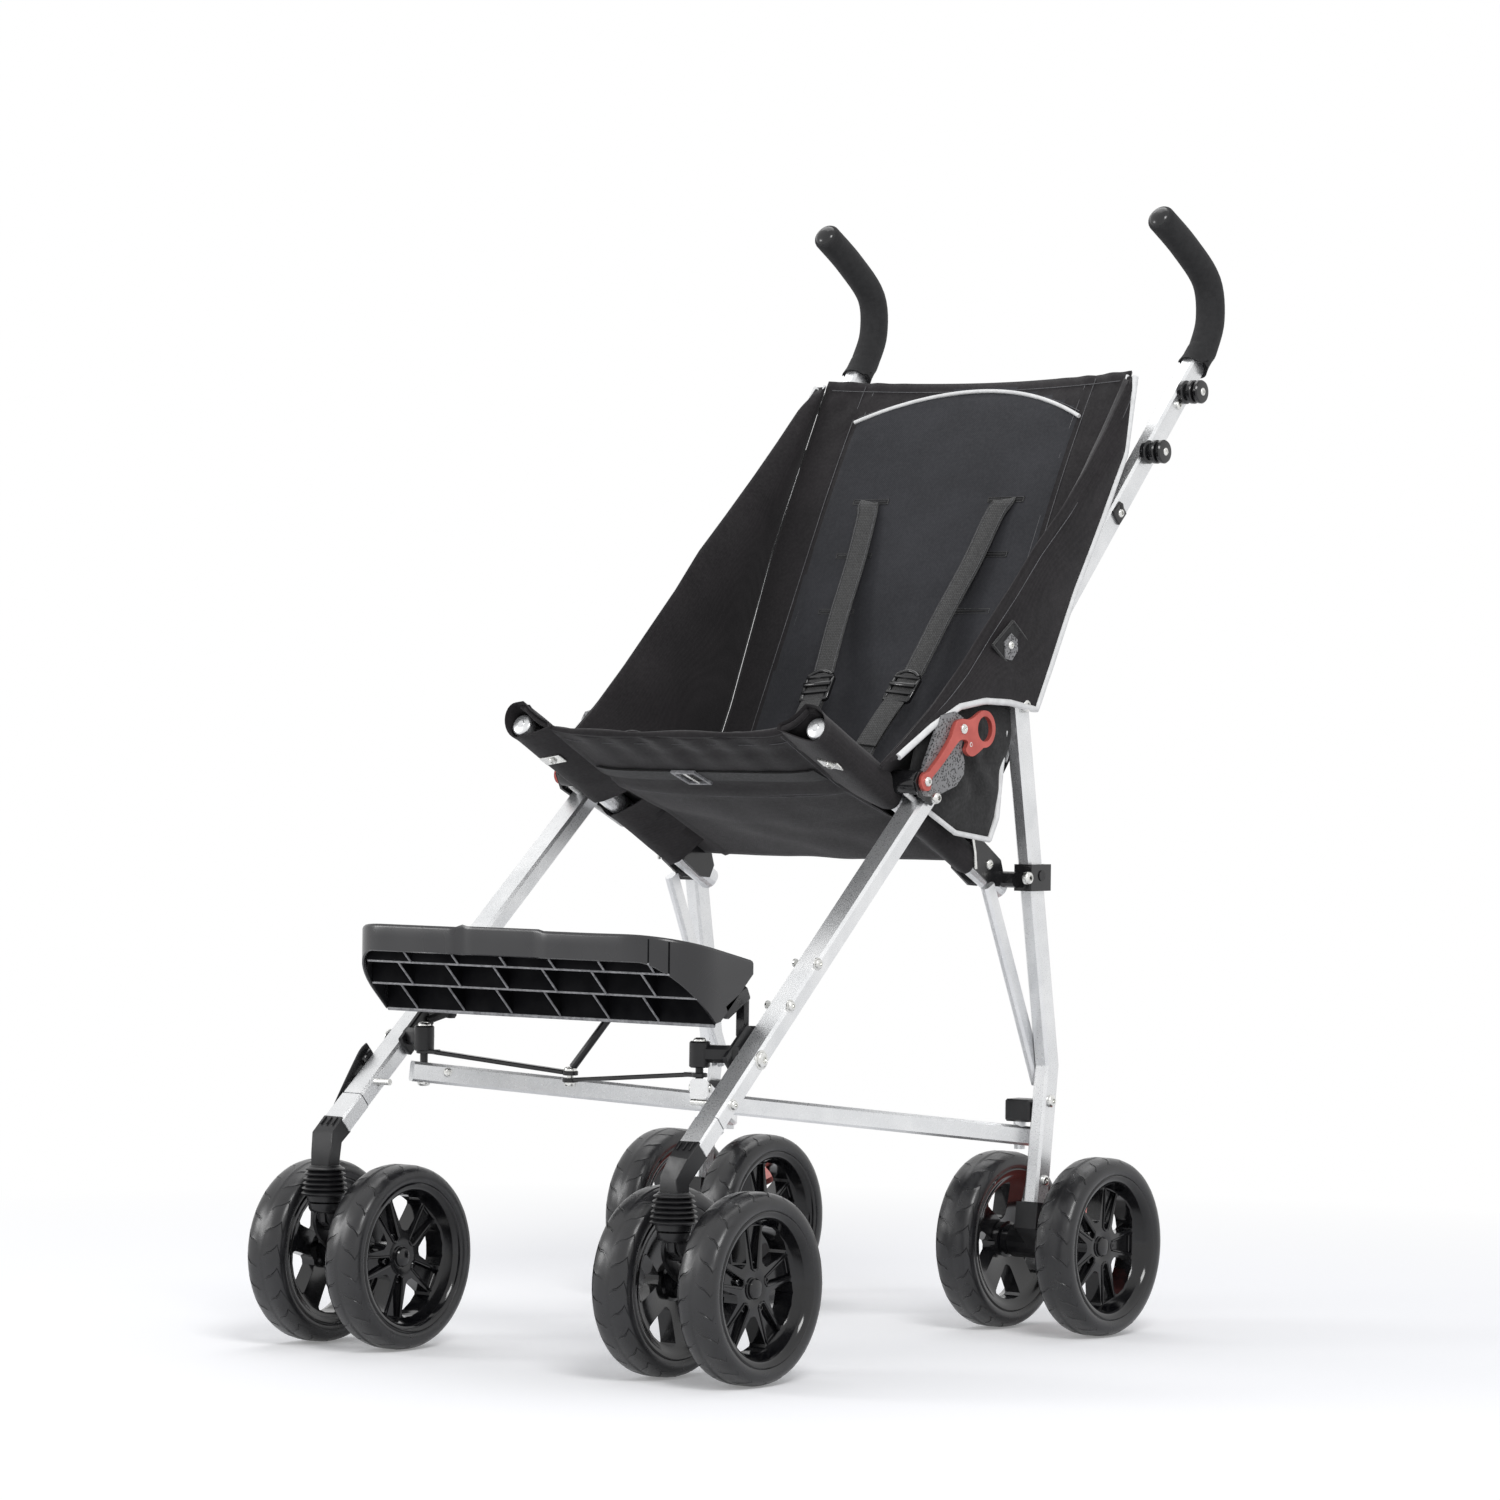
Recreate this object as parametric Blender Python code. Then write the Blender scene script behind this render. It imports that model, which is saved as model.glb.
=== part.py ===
"""Special needs stroller: cross-fold frame, twin wheels, sling seat.

Units are metres, Z is up, the stroller faces -Y and its left side is +X.
The side frames are drawn in their own (y, z) plane and placed at both sides.
"""
import math

import bmesh
import bpy
from mathutils import Matrix, Vector

# overall layout of the side frames, as (y, z) points
WHEEL_RADIUS = 0.087
FRONT_AXLE_Y = -0.375
REAR_AXLE_Y = 0.178
CASTER_AXIS_Y = -0.426
CASTER_AXIS_X = 0.208
REAR_UNIT_X = 0.207
HANDLE_TOP = (0.4245, 0.974)
HANDLE_KNEE = (0.115, 0.613)
HANDLE_FOOT = (0.038, 0.531)
LEG_TOP = (-0.036, 0.5295)
LEG_FOOT = (-0.379, 0.233)
REAR_LEG_TOP = (0.1065, 0.634)
REAR_LEG_MID = (0.171, 0.262)
REAR_LEG_FOOT = (0.154, 0.128)
REAR_LEG_PIVOT = (0.110, 0.6145)
RAIL_FRONT = (-0.176, 0.5888)
RAIL_REAR = (0.124, 0.4359)
REAR_STRUT_TOP = (0.0825, 0.4395)
REAR_STRUT_FOOT = (0.174, 0.245)
LATCH_PIVOT = (-0.066, 0.5415)
LATCH_RING = (0.027, 0.5915)
HINGE_LOBE = (-0.006, 0.556)

# sections, widths across X and depths along the side plane
HANDLE_WIDTH = 0.016
HANDLE_DEPTH = 0.024
LEG_WIDTH = 0.025
LEG_DEPTH = 0.018
REAR_LEG_WIDTH = 0.016
REAR_LEG_DEPTH = 0.022
REAR_STRUT_WIDTH = 0.0088
REAR_STRUT_DEPTH = 0.0165
RAIL_RADIUS = 0.011
EDGE_ROUND = 0.0025
GRIP_RADIUS = 0.0145

# stations across the width, for the left side
HANDLE_X_LOW = 0.190
HANDLE_X_TOP = 0.212
LEG_X_TOP = 0.2020
LEG_X_FOOT = 0.2115
GAP = 0.0004
RAIL_X = LEG_X_TOP - LEG_WIDTH / 2 - GAP - RAIL_RADIUS
REAR_LEG_X = HANDLE_X_LOW + HANDLE_WIDTH / 2 + 3 * GAP + REAR_LEG_WIDTH / 2
REAR_STRUT_X = REAR_LEG_X - REAR_LEG_WIDTH / 2 - GAP - REAR_STRUT_WIDTH / 2

# hinge plate, latch and clamp
HINGE_PLATE_THICK = 0.004
HINGE_PLATE_X = LEG_X_TOP + LEG_WIDTH / 2 + 2 * GAP
LATCH_THICK = 0.0036
LATCH_X = HINGE_PLATE_X + HINGE_PLATE_THICK + GAP
LATCH_RING_OUTER = 0.0180
LATCH_RING_INNER = 0.0110
LATCH_ARM_WIDTH = 0.013
CLAMP_Z = 0.447
CLAMP_HEIGHT = 0.026
CLAMP_WALL = 0.0035
CLAMP_BARREL_RADIUS = 0.008

# brace bars, lugs and spreader
BRACE_FRONT = (0.165, -0.335)
BRACE_REAR = (0.180, 0.165)
BRACE_FRONT_Z = 0.259
BRACE_REAR_Z = 0.192
BRACE_WIDTH = 0.016
BRACE_HEIGHT = 0.019
JOGGLE_DEPTH = 0.0205
JOGGLE_START = 0.185
JOGGLE_LENGTH = 0.170
JOGGLE_SLOPE = 0.030
BRACE_OVERHANG = 0.012
LUG_PIN_RADIUS = 0.0037
LUG_HOLE_RADIUS = 0.0045
LUG_TOP_Z = 0.303
LUG_BOTTOM_Z = 0.281
LINK_THICK = 0.0022
LINK_WIDTH = 0.014
LINK_FRONT_Z = 0.2790
LINK_STACK = 0.0066
LINK_CENTRE_Y = -0.318
LINK_DROP = 0.0135
REAR_LUG_HEIGHT = 0.022
REAR_BOLT_RADIUS = 0.0065

# wheels
TYRE_WIDTH = 0.042
TYRE_INNER_RADIUS = 0.0625
TYRE_SHOULDER = 0.0185
RIM_RADIUS = 0.0618
RIM_WIDTH = 0.029
WEB_THICK = 0.007
HUB_RADIUS = 0.0150
HUB_INNER_END = 0.019
HUB_FACE = 0.006
BORE_RADIUS = 0.0046
AXLE_RADIUS = 0.0040
BORE_DEPTH = 0.013
WINDOW_INNER = 0.024
WINDOW_OUTER = 0.050
SPOKES = 5
FRONT_TWIN = 0.0487
REAR_TWIN = 0.0585

# caster
BOOT_TOP = 0.1835
BOOT_BOTTOM = 0.1455
BOOT_RADIUS = 0.0218
BOOT_GROOVE = 0.0025
BOOT_RIBS = 5
ELBOW_TOP = 0.2155
FORK_HEAD_TOP = BOOT_BOTTOM - GAP
FORK_HUB_RADIUS = 0.0165

# rear axle and brake
HOUSING_RADIUS = 0.0165
PEDAL_LEAN = 0.36
PEDAL_BOSS = 0.0065
PEDAL_LENGTH = 0.078
PEDAL_WIDTH = 0.058
PEDAL_THICK = 0.006

# footrest
TRAY_LEFT_END = 0.194
TRAY_RIGHT_END = -0.198
TRAY_FRONT = (-0.404, 0.4005)
TRAY_BACK = (-0.2925, 0.3770)
TRAY_SKIRT_FOOT = (-0.408, 0.373)
TRAY_RIM_BACK = (-0.346, 0.3185)
TRAY_HEEL = (-0.2935, 0.3270)
TRAY_WALL = 0.004
TRAY_CORNER = 0.042
TRAY_RIB = 0.003
TRAY_PIN = (-0.180, 0.338)
TRAY_PIN_RADIUS = 0.0050
TRAY_PIN_BACK = -0.2635
ARM_FRONT = -0.2885
ARM_BACK = -0.2620
TRAY_BAYS = 6
STAY_RADIUS = 0.0038
STAY_TOP = (0.042, -0.300)

# fabric
BACK_TOP_Z = 0.954
BACK_LEAN = 0.506
BACK_TOP_Y = 0.335
BACK_THICK = 0.011
BACK_SAG = 0.020
BACK_SAG_START = 0.80
BACK_FLAT_SAG = 0.0015
BOBBIN_RADIUS = 0.0095
BOBBIN_LENGTH = 0.018
BOBBINS = ((0.394, 0.936), (0.332, 0.872))
BOBBIN_STRIP = 0.0016
BOBBIN_STRIP_WIDTH = 0.010
BACK_TOP_HALF = 0.1885
BACK_WAIST = (0.500, 0.560)
BACK_RAIL_GAP = 0.0012
SEAT_THICK = 0.007
SEAT_FRONT_SAG = 0.046
SEAT_REAR_SAG = 0.002
SEAT_ROLL = 0.008
SEAT_FRONT_Y = -0.181
SEAT_REAR_Y = 0.100
STRAP_END = (0.034, 0.044)
STRAP_END_GAP = 0.0026
PANEL_THICK = 0.004
PANEL_BULGE = 0.0052
PANEL_RIPPLE = 0.0006
STRAP_WIDTH = 0.025
STRAP_THICK = 0.002

SIDES = (("left", 1), ("right", -1))


def clear_scene():
    for item in list(bpy.data.objects):
        bpy.data.objects.remove(item, do_unlink=True)


def material(name, colour, roughness, metallic=0.0):
    found = bpy.data.materials.get(name)
    if found:
        return found
    made = bpy.data.materials.new(name)
    made.use_nodes = True
    shader = made.node_tree.nodes["Principled BSDF"]
    shader.inputs["Base Color"].default_value = (*colour, 1.0)
    shader.inputs["Roughness"].default_value = roughness
    shader.inputs["Metallic"].default_value = metallic
    return made


def paint(name):
    table = {
        "tube": ((0.78, 0.79, 0.80), 0.32, 1.0),
        "black": ((0.02, 0.02, 0.022), 0.45, 0.0),
        "grip": ((0.022, 0.022, 0.024), 0.75, 0.0),
        "plate": ((0.24, 0.24, 0.25), 0.5, 1.0),
        "red": ((0.60, 0.13, 0.11), 0.38, 0.6),
        "tyre": ((0.045, 0.045, 0.047), 0.85, 0.0),
        "rim": ((0.06, 0.06, 0.063), 0.5, 0.0),
        "fabric": ((0.045, 0.040, 0.042), 0.9, 0.0),
        "inset": ((0.07, 0.07, 0.082), 0.9, 0.0),
        "strap": ((0.02, 0.02, 0.02), 0.8, 0.0),
    }
    colour, roughness, metallic = table[name]
    return material("stroller_" + name, colour, roughness, metallic)


def finish_object(name, bm, look, origin=(0.0, 0.0, 0.0), smooth=None):
    """Make an object from a mesh drawn in world space, with its origin moved."""
    bmesh.ops.remove_doubles(bm, verts=bm.verts, dist=0.00001)
    bmesh.ops.recalc_face_normals(bm, faces=bm.faces)
    bmesh.ops.translate(bm, verts=bm.verts, vec=-Vector(origin))
    mesh = bpy.data.meshes.new(name)
    bm.to_mesh(mesh)
    bm.free()
    if smooth is not None:
        mesh.shade_smooth()
        mesh.set_sharp_from_angle(angle=math.radians(smooth))
    mesh.materials.append(paint(look))
    made = bpy.data.objects.new(name, mesh)
    made.location = origin
    bpy.context.scene.collection.objects.link(made)
    return made


def combine(base, others, operation="UNION"):
    """Join or cut solids with exact Booleans, and keep one clean mesh."""
    for other in others:
        step = base.modifiers.new("solid", "BOOLEAN")
        step.operation = operation
        step.solver = "EXACT"
        step.object = other
    bpy.context.view_layer.update()
    graph = bpy.context.evaluated_depsgraph_get()
    mesh = bpy.data.meshes.new_from_object(base.evaluated_get(graph))
    look = base.data.materials[0]
    base.modifiers.clear()
    base.data = mesh
    mesh.materials.clear()
    mesh.materials.append(look)
    for other in others:
        bpy.data.objects.remove(other, do_unlink=True)
    bm = bmesh.new()
    bm.from_mesh(mesh)
    bmesh.ops.dissolve_degenerate(bm, dist=0.00002, edges=bm.edges)
    bm.to_mesh(mesh)
    bm.free()
    return base


def sweep(points, section, closed_section=True):
    """Sweep a section of (side, across) offsets along points, with mitred bends."""
    bm = bmesh.new()
    count = len(points)
    rings = []
    for i, point in enumerate(points):
        here = Vector(point)
        before = (here - Vector(points[i - 1])).normalized() if i else None
        after = (Vector(points[i + 1]) - here).normalized() if i < count - 1 else None
        along = ((before or after) + (after or before)).normalized()
        side = Vector((1.0, 0.0, 0.0))
        side = (side - along * side.dot(along)).normalized()
        across = along.cross(side)
        mitre = 1.0
        if before and after:
            mitre = 1.0 / max(0.3, along.dot(after))
        ring = []
        for a, b in section:
            ring.append(bm.verts.new(here + side * a + across * b * mitre))
        rings.append(ring)
    size = len(section)
    for low, high in zip(rings, rings[1:]):
        for k in range(size):
            m = (k + 1) % size
            bm.faces.new((low[k], low[m], high[m], high[k]))
    bm.faces.new(list(reversed(rings[0])))
    bm.faces.new(rings[-1])
    return bm


def box_section(width, depth, corner=EDGE_ROUND):
    """A rectangle with cut corners, as (side, across) offsets."""
    a = width / 2
    b = depth / 2
    c = min(corner, a * 0.6, b * 0.6)
    right = [(a - c, -b), (a, -b + c), (a, b - c), (a - c, b)]
    return right + [(-x, -y) for x, y in right]


def round_section(radius, sides=14):
    turns = [2 * math.pi * k / sides for k in range(sides)]
    return [(radius * math.cos(turn), radius * math.sin(turn)) for turn in turns]


def turned(profile, centre, axis, sides=24, start=0.0):
    """Turn (radius, height) points about an axis; ends on the axis close the solid."""
    axis = Vector(axis).normalized()
    helper = Vector((0, 0, 1)) if abs(axis.z) < 0.9 else Vector((0, 1, 0))
    u = axis.cross(helper).normalized()
    v = axis.cross(u)
    centre = Vector(centre)
    bm = bmesh.new()
    rings = []
    for radius, height in profile:
        base = centre + axis * height
        if radius < 1e-9:
            rings.append([bm.verts.new(base)])
            continue
        ring = []
        for k in range(sides):
            angle = start + 2 * math.pi * k / sides
            ring.append(bm.verts.new(base + (u * math.cos(angle) + v * math.sin(angle)) * radius))
        rings.append(ring)
    for low, high in zip(rings, rings[1:]):
        for k in range(sides):
            m = (k + 1) % sides
            if len(low) == 1:
                bm.faces.new((low[0], high[m], high[k]))
            elif len(high) == 1:
                bm.faces.new((low[k], low[m], high[0]))
            else:
                bm.faces.new((low[k], low[m], high[m], high[k]))
    return bm


def ring_turned(profile, centre, axis, sides):
    """Turn a closed loop of (radius, height) points that stays off the axis."""
    bm = turned(profile + [profile[0]], centre, axis, sides)
    return bm


def rod(start, end, radius, sides=14):
    start = Vector(start)
    end = Vector(end)
    length = (end - start).length
    return turned([(0, 0), (radius, 0), (radius, length), (0, length)], start, end - start, sides)


def brick(low, high):
    bm = bmesh.new()
    bmesh.ops.create_cube(bm, size=1.0)
    low = Vector(low)
    high = Vector(high)
    for vert in bm.verts:
        for k in range(3):
            vert.co[k] = low[k] if vert.co[k] < 0 else high[k]
    return bm


def prism(outline, x_low, x_high):
    """Extrude a (y, z) outline between two X stations."""
    bm = bmesh.new()
    near = [bm.verts.new((x_low, y, z)) for y, z in outline]
    far = [bm.verts.new((x_high, y, z)) for y, z in outline]
    count = len(outline)
    for k in range(count):
        m = (k + 1) % count
        bm.faces.new((near[k], near[m], far[m], far[k]))
    bm.faces.new(list(reversed(near)))
    bm.faces.new(far)
    return bm


def capsule(a, b, radius_a, radius_b, steps=7):
    """Outline of a rounded bar between two (y, z) points."""
    ax, az = a
    bx, bz = b
    angle = math.atan2(bz - az, bx - ax)
    points = []
    for k in range(steps + 1):
        t = angle - math.pi / 2 + math.pi * k / steps
        points.append((bx + radius_b * math.cos(t), bz + radius_b * math.sin(t)))
    for k in range(steps + 1):
        t = angle + math.pi / 2 + math.pi * k / steps
        points.append((ax + radius_a * math.cos(t), az + radius_a * math.sin(t)))
    return points


def sheet_solid(grid, thickness):
    """Close a grid of points into a solid of even thickness along its normals."""
    rows = len(grid)
    cols = len(grid[0])
    points = [[Vector(p) for p in row] for row in grid]
    normals = []
    for i in range(rows):
        line = []
        for j in range(cols):
            du = points[min(i + 1, rows - 1)][j] - points[max(i - 1, 0)][j]
            dv = points[i][min(j + 1, cols - 1)] - points[i][max(j - 1, 0)]
            line.append(du.cross(dv).normalized())
        normals.append(line)
    bm = bmesh.new()
    front = []
    back = []
    for i in range(rows):
        lift = [normals[i][j] * thickness / 2 for j in range(cols)]
        front.append([bm.verts.new(points[i][j] + lift[j]) for j in range(cols)])
        back.append([bm.verts.new(points[i][j] - lift[j]) for j in range(cols)])
    for i in range(rows - 1):
        for j in range(cols - 1):
            bm.faces.new((front[i][j], front[i + 1][j], front[i + 1][j + 1], front[i][j + 1]))
            bm.faces.new((back[i][j], back[i][j + 1], back[i + 1][j + 1], back[i + 1][j]))
    for j in range(cols - 1):
        bm.faces.new((front[0][j], front[0][j + 1], back[0][j + 1], back[0][j]))
        bm.faces.new((front[-1][j + 1], front[-1][j], back[-1][j], back[-1][j + 1]))
    for i in range(rows - 1):
        bm.faces.new((front[i + 1][0], front[i][0], back[i][0], back[i + 1][0]))
        bm.faces.new((front[i][-1], front[i + 1][-1], back[i + 1][-1], back[i][-1]))
    return bm


def mix(a, b, t):
    return a + (b - a) * t


def on_line(a, b, t):
    return tuple(mix(p, q, t) for p, q in zip(a, b))


def follow(points, t):
    """A point at share t of the length of a (y, z) polyline."""
    lengths = [math.dist(a, b) for a, b in zip(points, points[1:])]
    left = t * sum(lengths)
    for (a, b), length in zip(zip(points, points[1:]), lengths):
        if left <= length:
            return on_line(a, b, left / length)
        left -= length
    return points[-1]


def smooth_path(points, per_span=4):
    """Points along a Catmull-Rom curve through the given ones."""
    padded = [points[0]] + list(points) + [points[-1]]
    out = []
    for i in range(1, len(padded) - 2):
        p0, p1, p2, p3 = (Vector(p) for p in padded[i - 1 : i + 3])
        for k in range(per_span):
            t = k / per_span
            a = 2 * p1 + (p2 - p0) * t + (2 * p0 - 5 * p1 + 4 * p2 - p3) * t * t
            a = a + (3 * p1 - p0 - 3 * p2 + p3) * t * t * t
            out.append(tuple(a / 2))
    out.append(tuple(Vector(points[-1])))
    return out


def handle_x(z):
    """Station of the handle tube's middle at a height."""
    share = (z - HANDLE_KNEE[1]) / (HANDLE_TOP[1] - HANDLE_KNEE[1])
    return mix(HANDLE_X_LOW, HANDLE_X_TOP, max(0.0, share))


def leg_x(z):
    """Station of the front leg's middle at a height."""
    share = (LEG_TOP[1] - z) / (LEG_TOP[1] - LEG_FOOT[1])
    return mix(LEG_X_TOP, LEG_X_FOOT, share)


def rail_z(y):
    """Height of the seat rail's middle at a fore-and-aft station."""
    share = (y - RAIL_FRONT[0]) / (RAIL_REAR[0] - RAIL_FRONT[0])
    return mix(RAIL_FRONT[1], RAIL_REAR[1], share)


def back_y(z):
    """Fore-and-aft station of the backrest's plane at a height."""
    return BACK_TOP_Y - (BACK_TOP_Z - z) * BACK_LEAN


def handle_parts(side, s):
    path = [(s * handle_x(p[1]), *p) for p in (HANDLE_TOP, HANDLE_KNEE, HANDLE_FOOT)]
    tube = sweep(path, box_section(HANDLE_WIDTH, HANDLE_DEPTH))
    finish_object("handle_tube_" + side, tube, "tube")
    top = Vector(path[0])
    along = (top - Vector(path[1])).normalized()
    start = top + along * GAP
    grip_path = [tuple(start)] + smooth_path(
        [
            tuple(start + along * 0.010),
            (start.x, start.y + 0.0220, start.z + 0.0395),
            (start.x - s * 0.001, start.y + 0.0150, start.z + 0.0775),
            (start.x - s * 0.002, start.y - 0.0250, start.z + 0.1095),
            (start.x - s * 0.003, start.y - 0.0700, start.z + 0.1360),
        ],
        3,
    )
    grip = sweep(grip_path, round_section(GRIP_RADIUS, 12))
    finish_object("handle_grip_" + side, grip, "grip", smooth=50)


def handle_face(y, z, lift):
    """X station above the handle tube's outer face, at a fore-and-aft station and a height."""
    knee = Vector((handle_x(HANDLE_KNEE[1]), *HANDLE_KNEE))
    top = Vector((handle_x(HANDLE_TOP[1]), *HANDLE_TOP))
    along = (top - knee).normalized()
    side = Vector((1.0, 0.0, 0.0))
    side = (side - along * side.dot(along)).normalized()
    return knee.x + (HANDLE_WIDTH / 2 + lift - side.y * (y - knee.y) - side.z * (z - knee.z)) / side.x


def bobbin_parts(side, s):
    """Two grooved bobbins on a strip along the tube's outer face."""
    path = [(s * handle_face(y, z, GAP + BOBBIN_STRIP / 2), y, z) for y, z in BOBBINS]
    section = box_section(BOBBIN_STRIP, BOBBIN_STRIP_WIDTH, 0.0003)
    strip = finish_object("bobbins_" + side, sweep(path, section), "black")
    r = BOBBIN_RADIUS
    groove = r * 0.7
    half = BOBBIN_LENGTH / 2
    profile = [(0, 0), (r, 0), (r, half * 0.4), (groove, half * 0.6), (r, half * 0.85), (r, half * 1.2)]
    profile += [(groove, half * 1.4), (r, half * 1.6), (r * 0.9, BOBBIN_LENGTH), (0, BOBBIN_LENGTH)]
    pieces = []
    for y, z in BOBBINS:
        start = handle_face(y, z, GAP + BOBBIN_STRIP / 2)
        pieces.append(finish_object("bobbin", turned(profile, (s * start, y, z), (s, 0, 0), 16), "black"))
    combine(strip, pieces)


def leg_parts(side, s):
    leg = sweep([(s * leg_x(p[1]), *p) for p in (LEG_TOP, LEG_FOOT)], box_section(LEG_WIDTH, LEG_DEPTH))
    finish_object("front_leg_" + side, leg, "tube")


def rail_parts(side, s):
    x = s * RAIL_X
    rail = sweep([(x, *RAIL_FRONT), (x, *RAIL_REAR)], round_section(RAIL_RADIUS, 16))
    finish_object("seat_rail_" + side, rail, "tube", smooth=50)


def rear_leg_parts(side, s):
    pivot = (s * REAR_LEG_X, *REAR_LEG_PIVOT)
    x = s * REAR_LEG_X
    bend = [REAR_LEG_TOP, on_line(REAR_LEG_TOP, REAR_LEG_MID, 0.93), REAR_LEG_MID]
    bend += [on_line(REAR_LEG_MID, REAR_LEG_FOOT, 0.25), REAR_LEG_FOOT]
    leg = sweep([(x, *p) for p in bend], box_section(REAR_LEG_WIDTH, REAR_LEG_DEPTH))
    finish_object("rear_leg_" + side, leg, "tube", origin=pivot)

    xs = s * REAR_STRUT_X
    section = box_section(REAR_STRUT_WIDTH, REAR_STRUT_DEPTH)
    strut = sweep([(xs, *REAR_STRUT_TOP), (xs, *REAR_STRUT_FOOT)], section)
    finish_object("rear_strut_" + side, strut, "tube", origin=pivot)

    # the clamp is a collar round the rear leg with a plate outside and a barrel inside
    share = (REAR_LEG_TOP[1] - CLAMP_Z) / (REAR_LEG_TOP[1] - REAR_LEG_MID[1])
    leg_y = mix(REAR_LEG_TOP[0], REAR_LEG_MID[0], share)
    half_y = REAR_LEG_DEPTH / 2 + 0.0025 + CLAMP_WALL
    outer = REAR_LEG_X + REAR_LEG_WIDTH / 2 + GAP + CLAMP_WALL
    inner = REAR_LEG_X - REAR_LEG_WIDTH / 2 - GAP
    collar = finish_object(
        "rear_clamp_" + side,
        brick(
            (min(s * inner, s * outer), leg_y - half_y, CLAMP_Z - CLAMP_HEIGHT / 2),
            (max(s * inner, s * outer), leg_y + half_y, CLAMP_Z + CLAMP_HEIGHT / 2),
        ),
        "black",
        origin=pivot,
    )
    far = inner - 0.01
    hole = finish_object(
        "hole",
        brick(
            (
                min(s * far, s * (outer - CLAMP_WALL)),
                leg_y - half_y + CLAMP_WALL,
                CLAMP_Z - CLAMP_HEIGHT,
            ),
            (
                max(s * far, s * (outer - CLAMP_WALL)),
                leg_y + half_y - CLAMP_WALL,
                CLAMP_Z + CLAMP_HEIGHT,
            ),
        ),
        "black",
    )
    combine(collar, [hole], "DIFFERENCE")
    barrel_inner = RAIL_X + RAIL_RADIUS + GAP
    barrel_y = leg_y - half_y + CLAMP_WALL - CLAMP_BARREL_RADIUS
    barrel = finish_object(
        "barrel",
        rod(
            (s * barrel_inner, barrel_y, CLAMP_Z - 0.002),
            (s * (inner + 0.006), barrel_y, CLAMP_Z - 0.002),
            CLAMP_BARREL_RADIUS,
        ),
        "black",
    )
    combine(collar, [barrel])

    # the rear lug is bolted inside the leg, and the brace bar's end lies under it
    lug_y = BRACE_REAR[1]
    lug_low = BRACE_REAR_Z + BRACE_HEIGHT / 2 + 0.0045
    lug_inner = BRACE_REAR[0] - 0.0105
    lug = brick(
        (min(s * lug_inner, s * inner), lug_y - 0.0125, lug_low),
        (max(s * lug_inner, s * inner), lug_y + 0.0125, lug_low + REAR_LUG_HEIGHT),
    )
    bmesh.ops.bevel(lug, geom=lug.edges, offset=0.002, segments=1, affect="EDGES")
    finish_object("rear_lug_" + side, lug, "black", origin=pivot)

    # axle housing: a cross barrel for the axle with a socket that carries the leg's foot
    axle = Vector((s * REAR_UNIT_X, REAR_AXLE_Y, WHEEL_RADIUS))
    reach = Vector((REAR_TWIN - HUB_INNER_END - GAP, 0, 0))
    barrel = rod(axle - reach, axle + reach, HOUSING_RADIUS, 18)
    housing = finish_object("rear_axle_" + side, barrel, "black", origin=pivot)
    reach = Vector((REAR_TWIN - HUB_INNER_END + BORE_DEPTH - 2 * GAP, 0, 0))
    shaft = finish_object("shaft", rod(axle - reach, axle + reach, AXLE_RADIUS, 12), "black")
    # the socket's top face lies square to the leg, just under its foot
    foot = Vector(REAR_LEG_FOOT)
    down = (foot - Vector(REAR_LEG_MID)).normalized()
    across = Vector((-down.y, down.x))
    reach = REAR_LEG_DEPTH / 2 + 0.004
    top = foot + down * GAP
    socket = finish_object(
        "socket",
        prism(
            [
                tuple(top - across * reach),
                tuple(top - across * reach + down * 0.026),
                (REAR_AXLE_Y - 0.016, WHEEL_RADIUS - 0.006),
                (REAR_AXLE_Y + 0.010, WHEEL_RADIUS + 0.006),
                tuple(top + across * reach),
            ],
            s * REAR_LEG_X - 0.0125,
            s * REAR_LEG_X + 0.0125,
        ),
        "black",
    )
    combine(housing, [shaft, socket])

    # brake pedal, hinged on the back of the housing between the two wheels
    seat = HOUSING_RADIUS + GAP + PEDAL_BOSS
    py = REAR_AXLE_Y + seat * math.sin(PEDAL_LEAN)
    pz = WHEEL_RADIUS + seat * math.cos(PEDAL_LEAN)
    pedal_origin = (s * REAR_UNIT_X, py, pz)
    half = PEDAL_WIDTH / 2
    boss_half = half - 0.004
    boss = finish_object(
        "brake_pedal_" + side,
        rod((s * REAR_UNIT_X - boss_half, py, pz), (s * REAR_UNIT_X + boss_half, py, pz), PEDAL_BOSS, 12),
        "red",
        origin=pedal_origin,
    )
    lift = 0.26
    tip = (py + PEDAL_LENGTH * math.cos(lift), pz + PEDAL_LENGTH * math.sin(lift))
    plate = finish_object(
        "plate",
        prism(
            capsule((py, pz), tip, PEDAL_THICK / 2, PEDAL_THICK / 2, 4),
            pedal_origin[0] - half,
            pedal_origin[0] + half,
        ),
        "red",
    )
    combine(boss, [plate])


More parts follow.
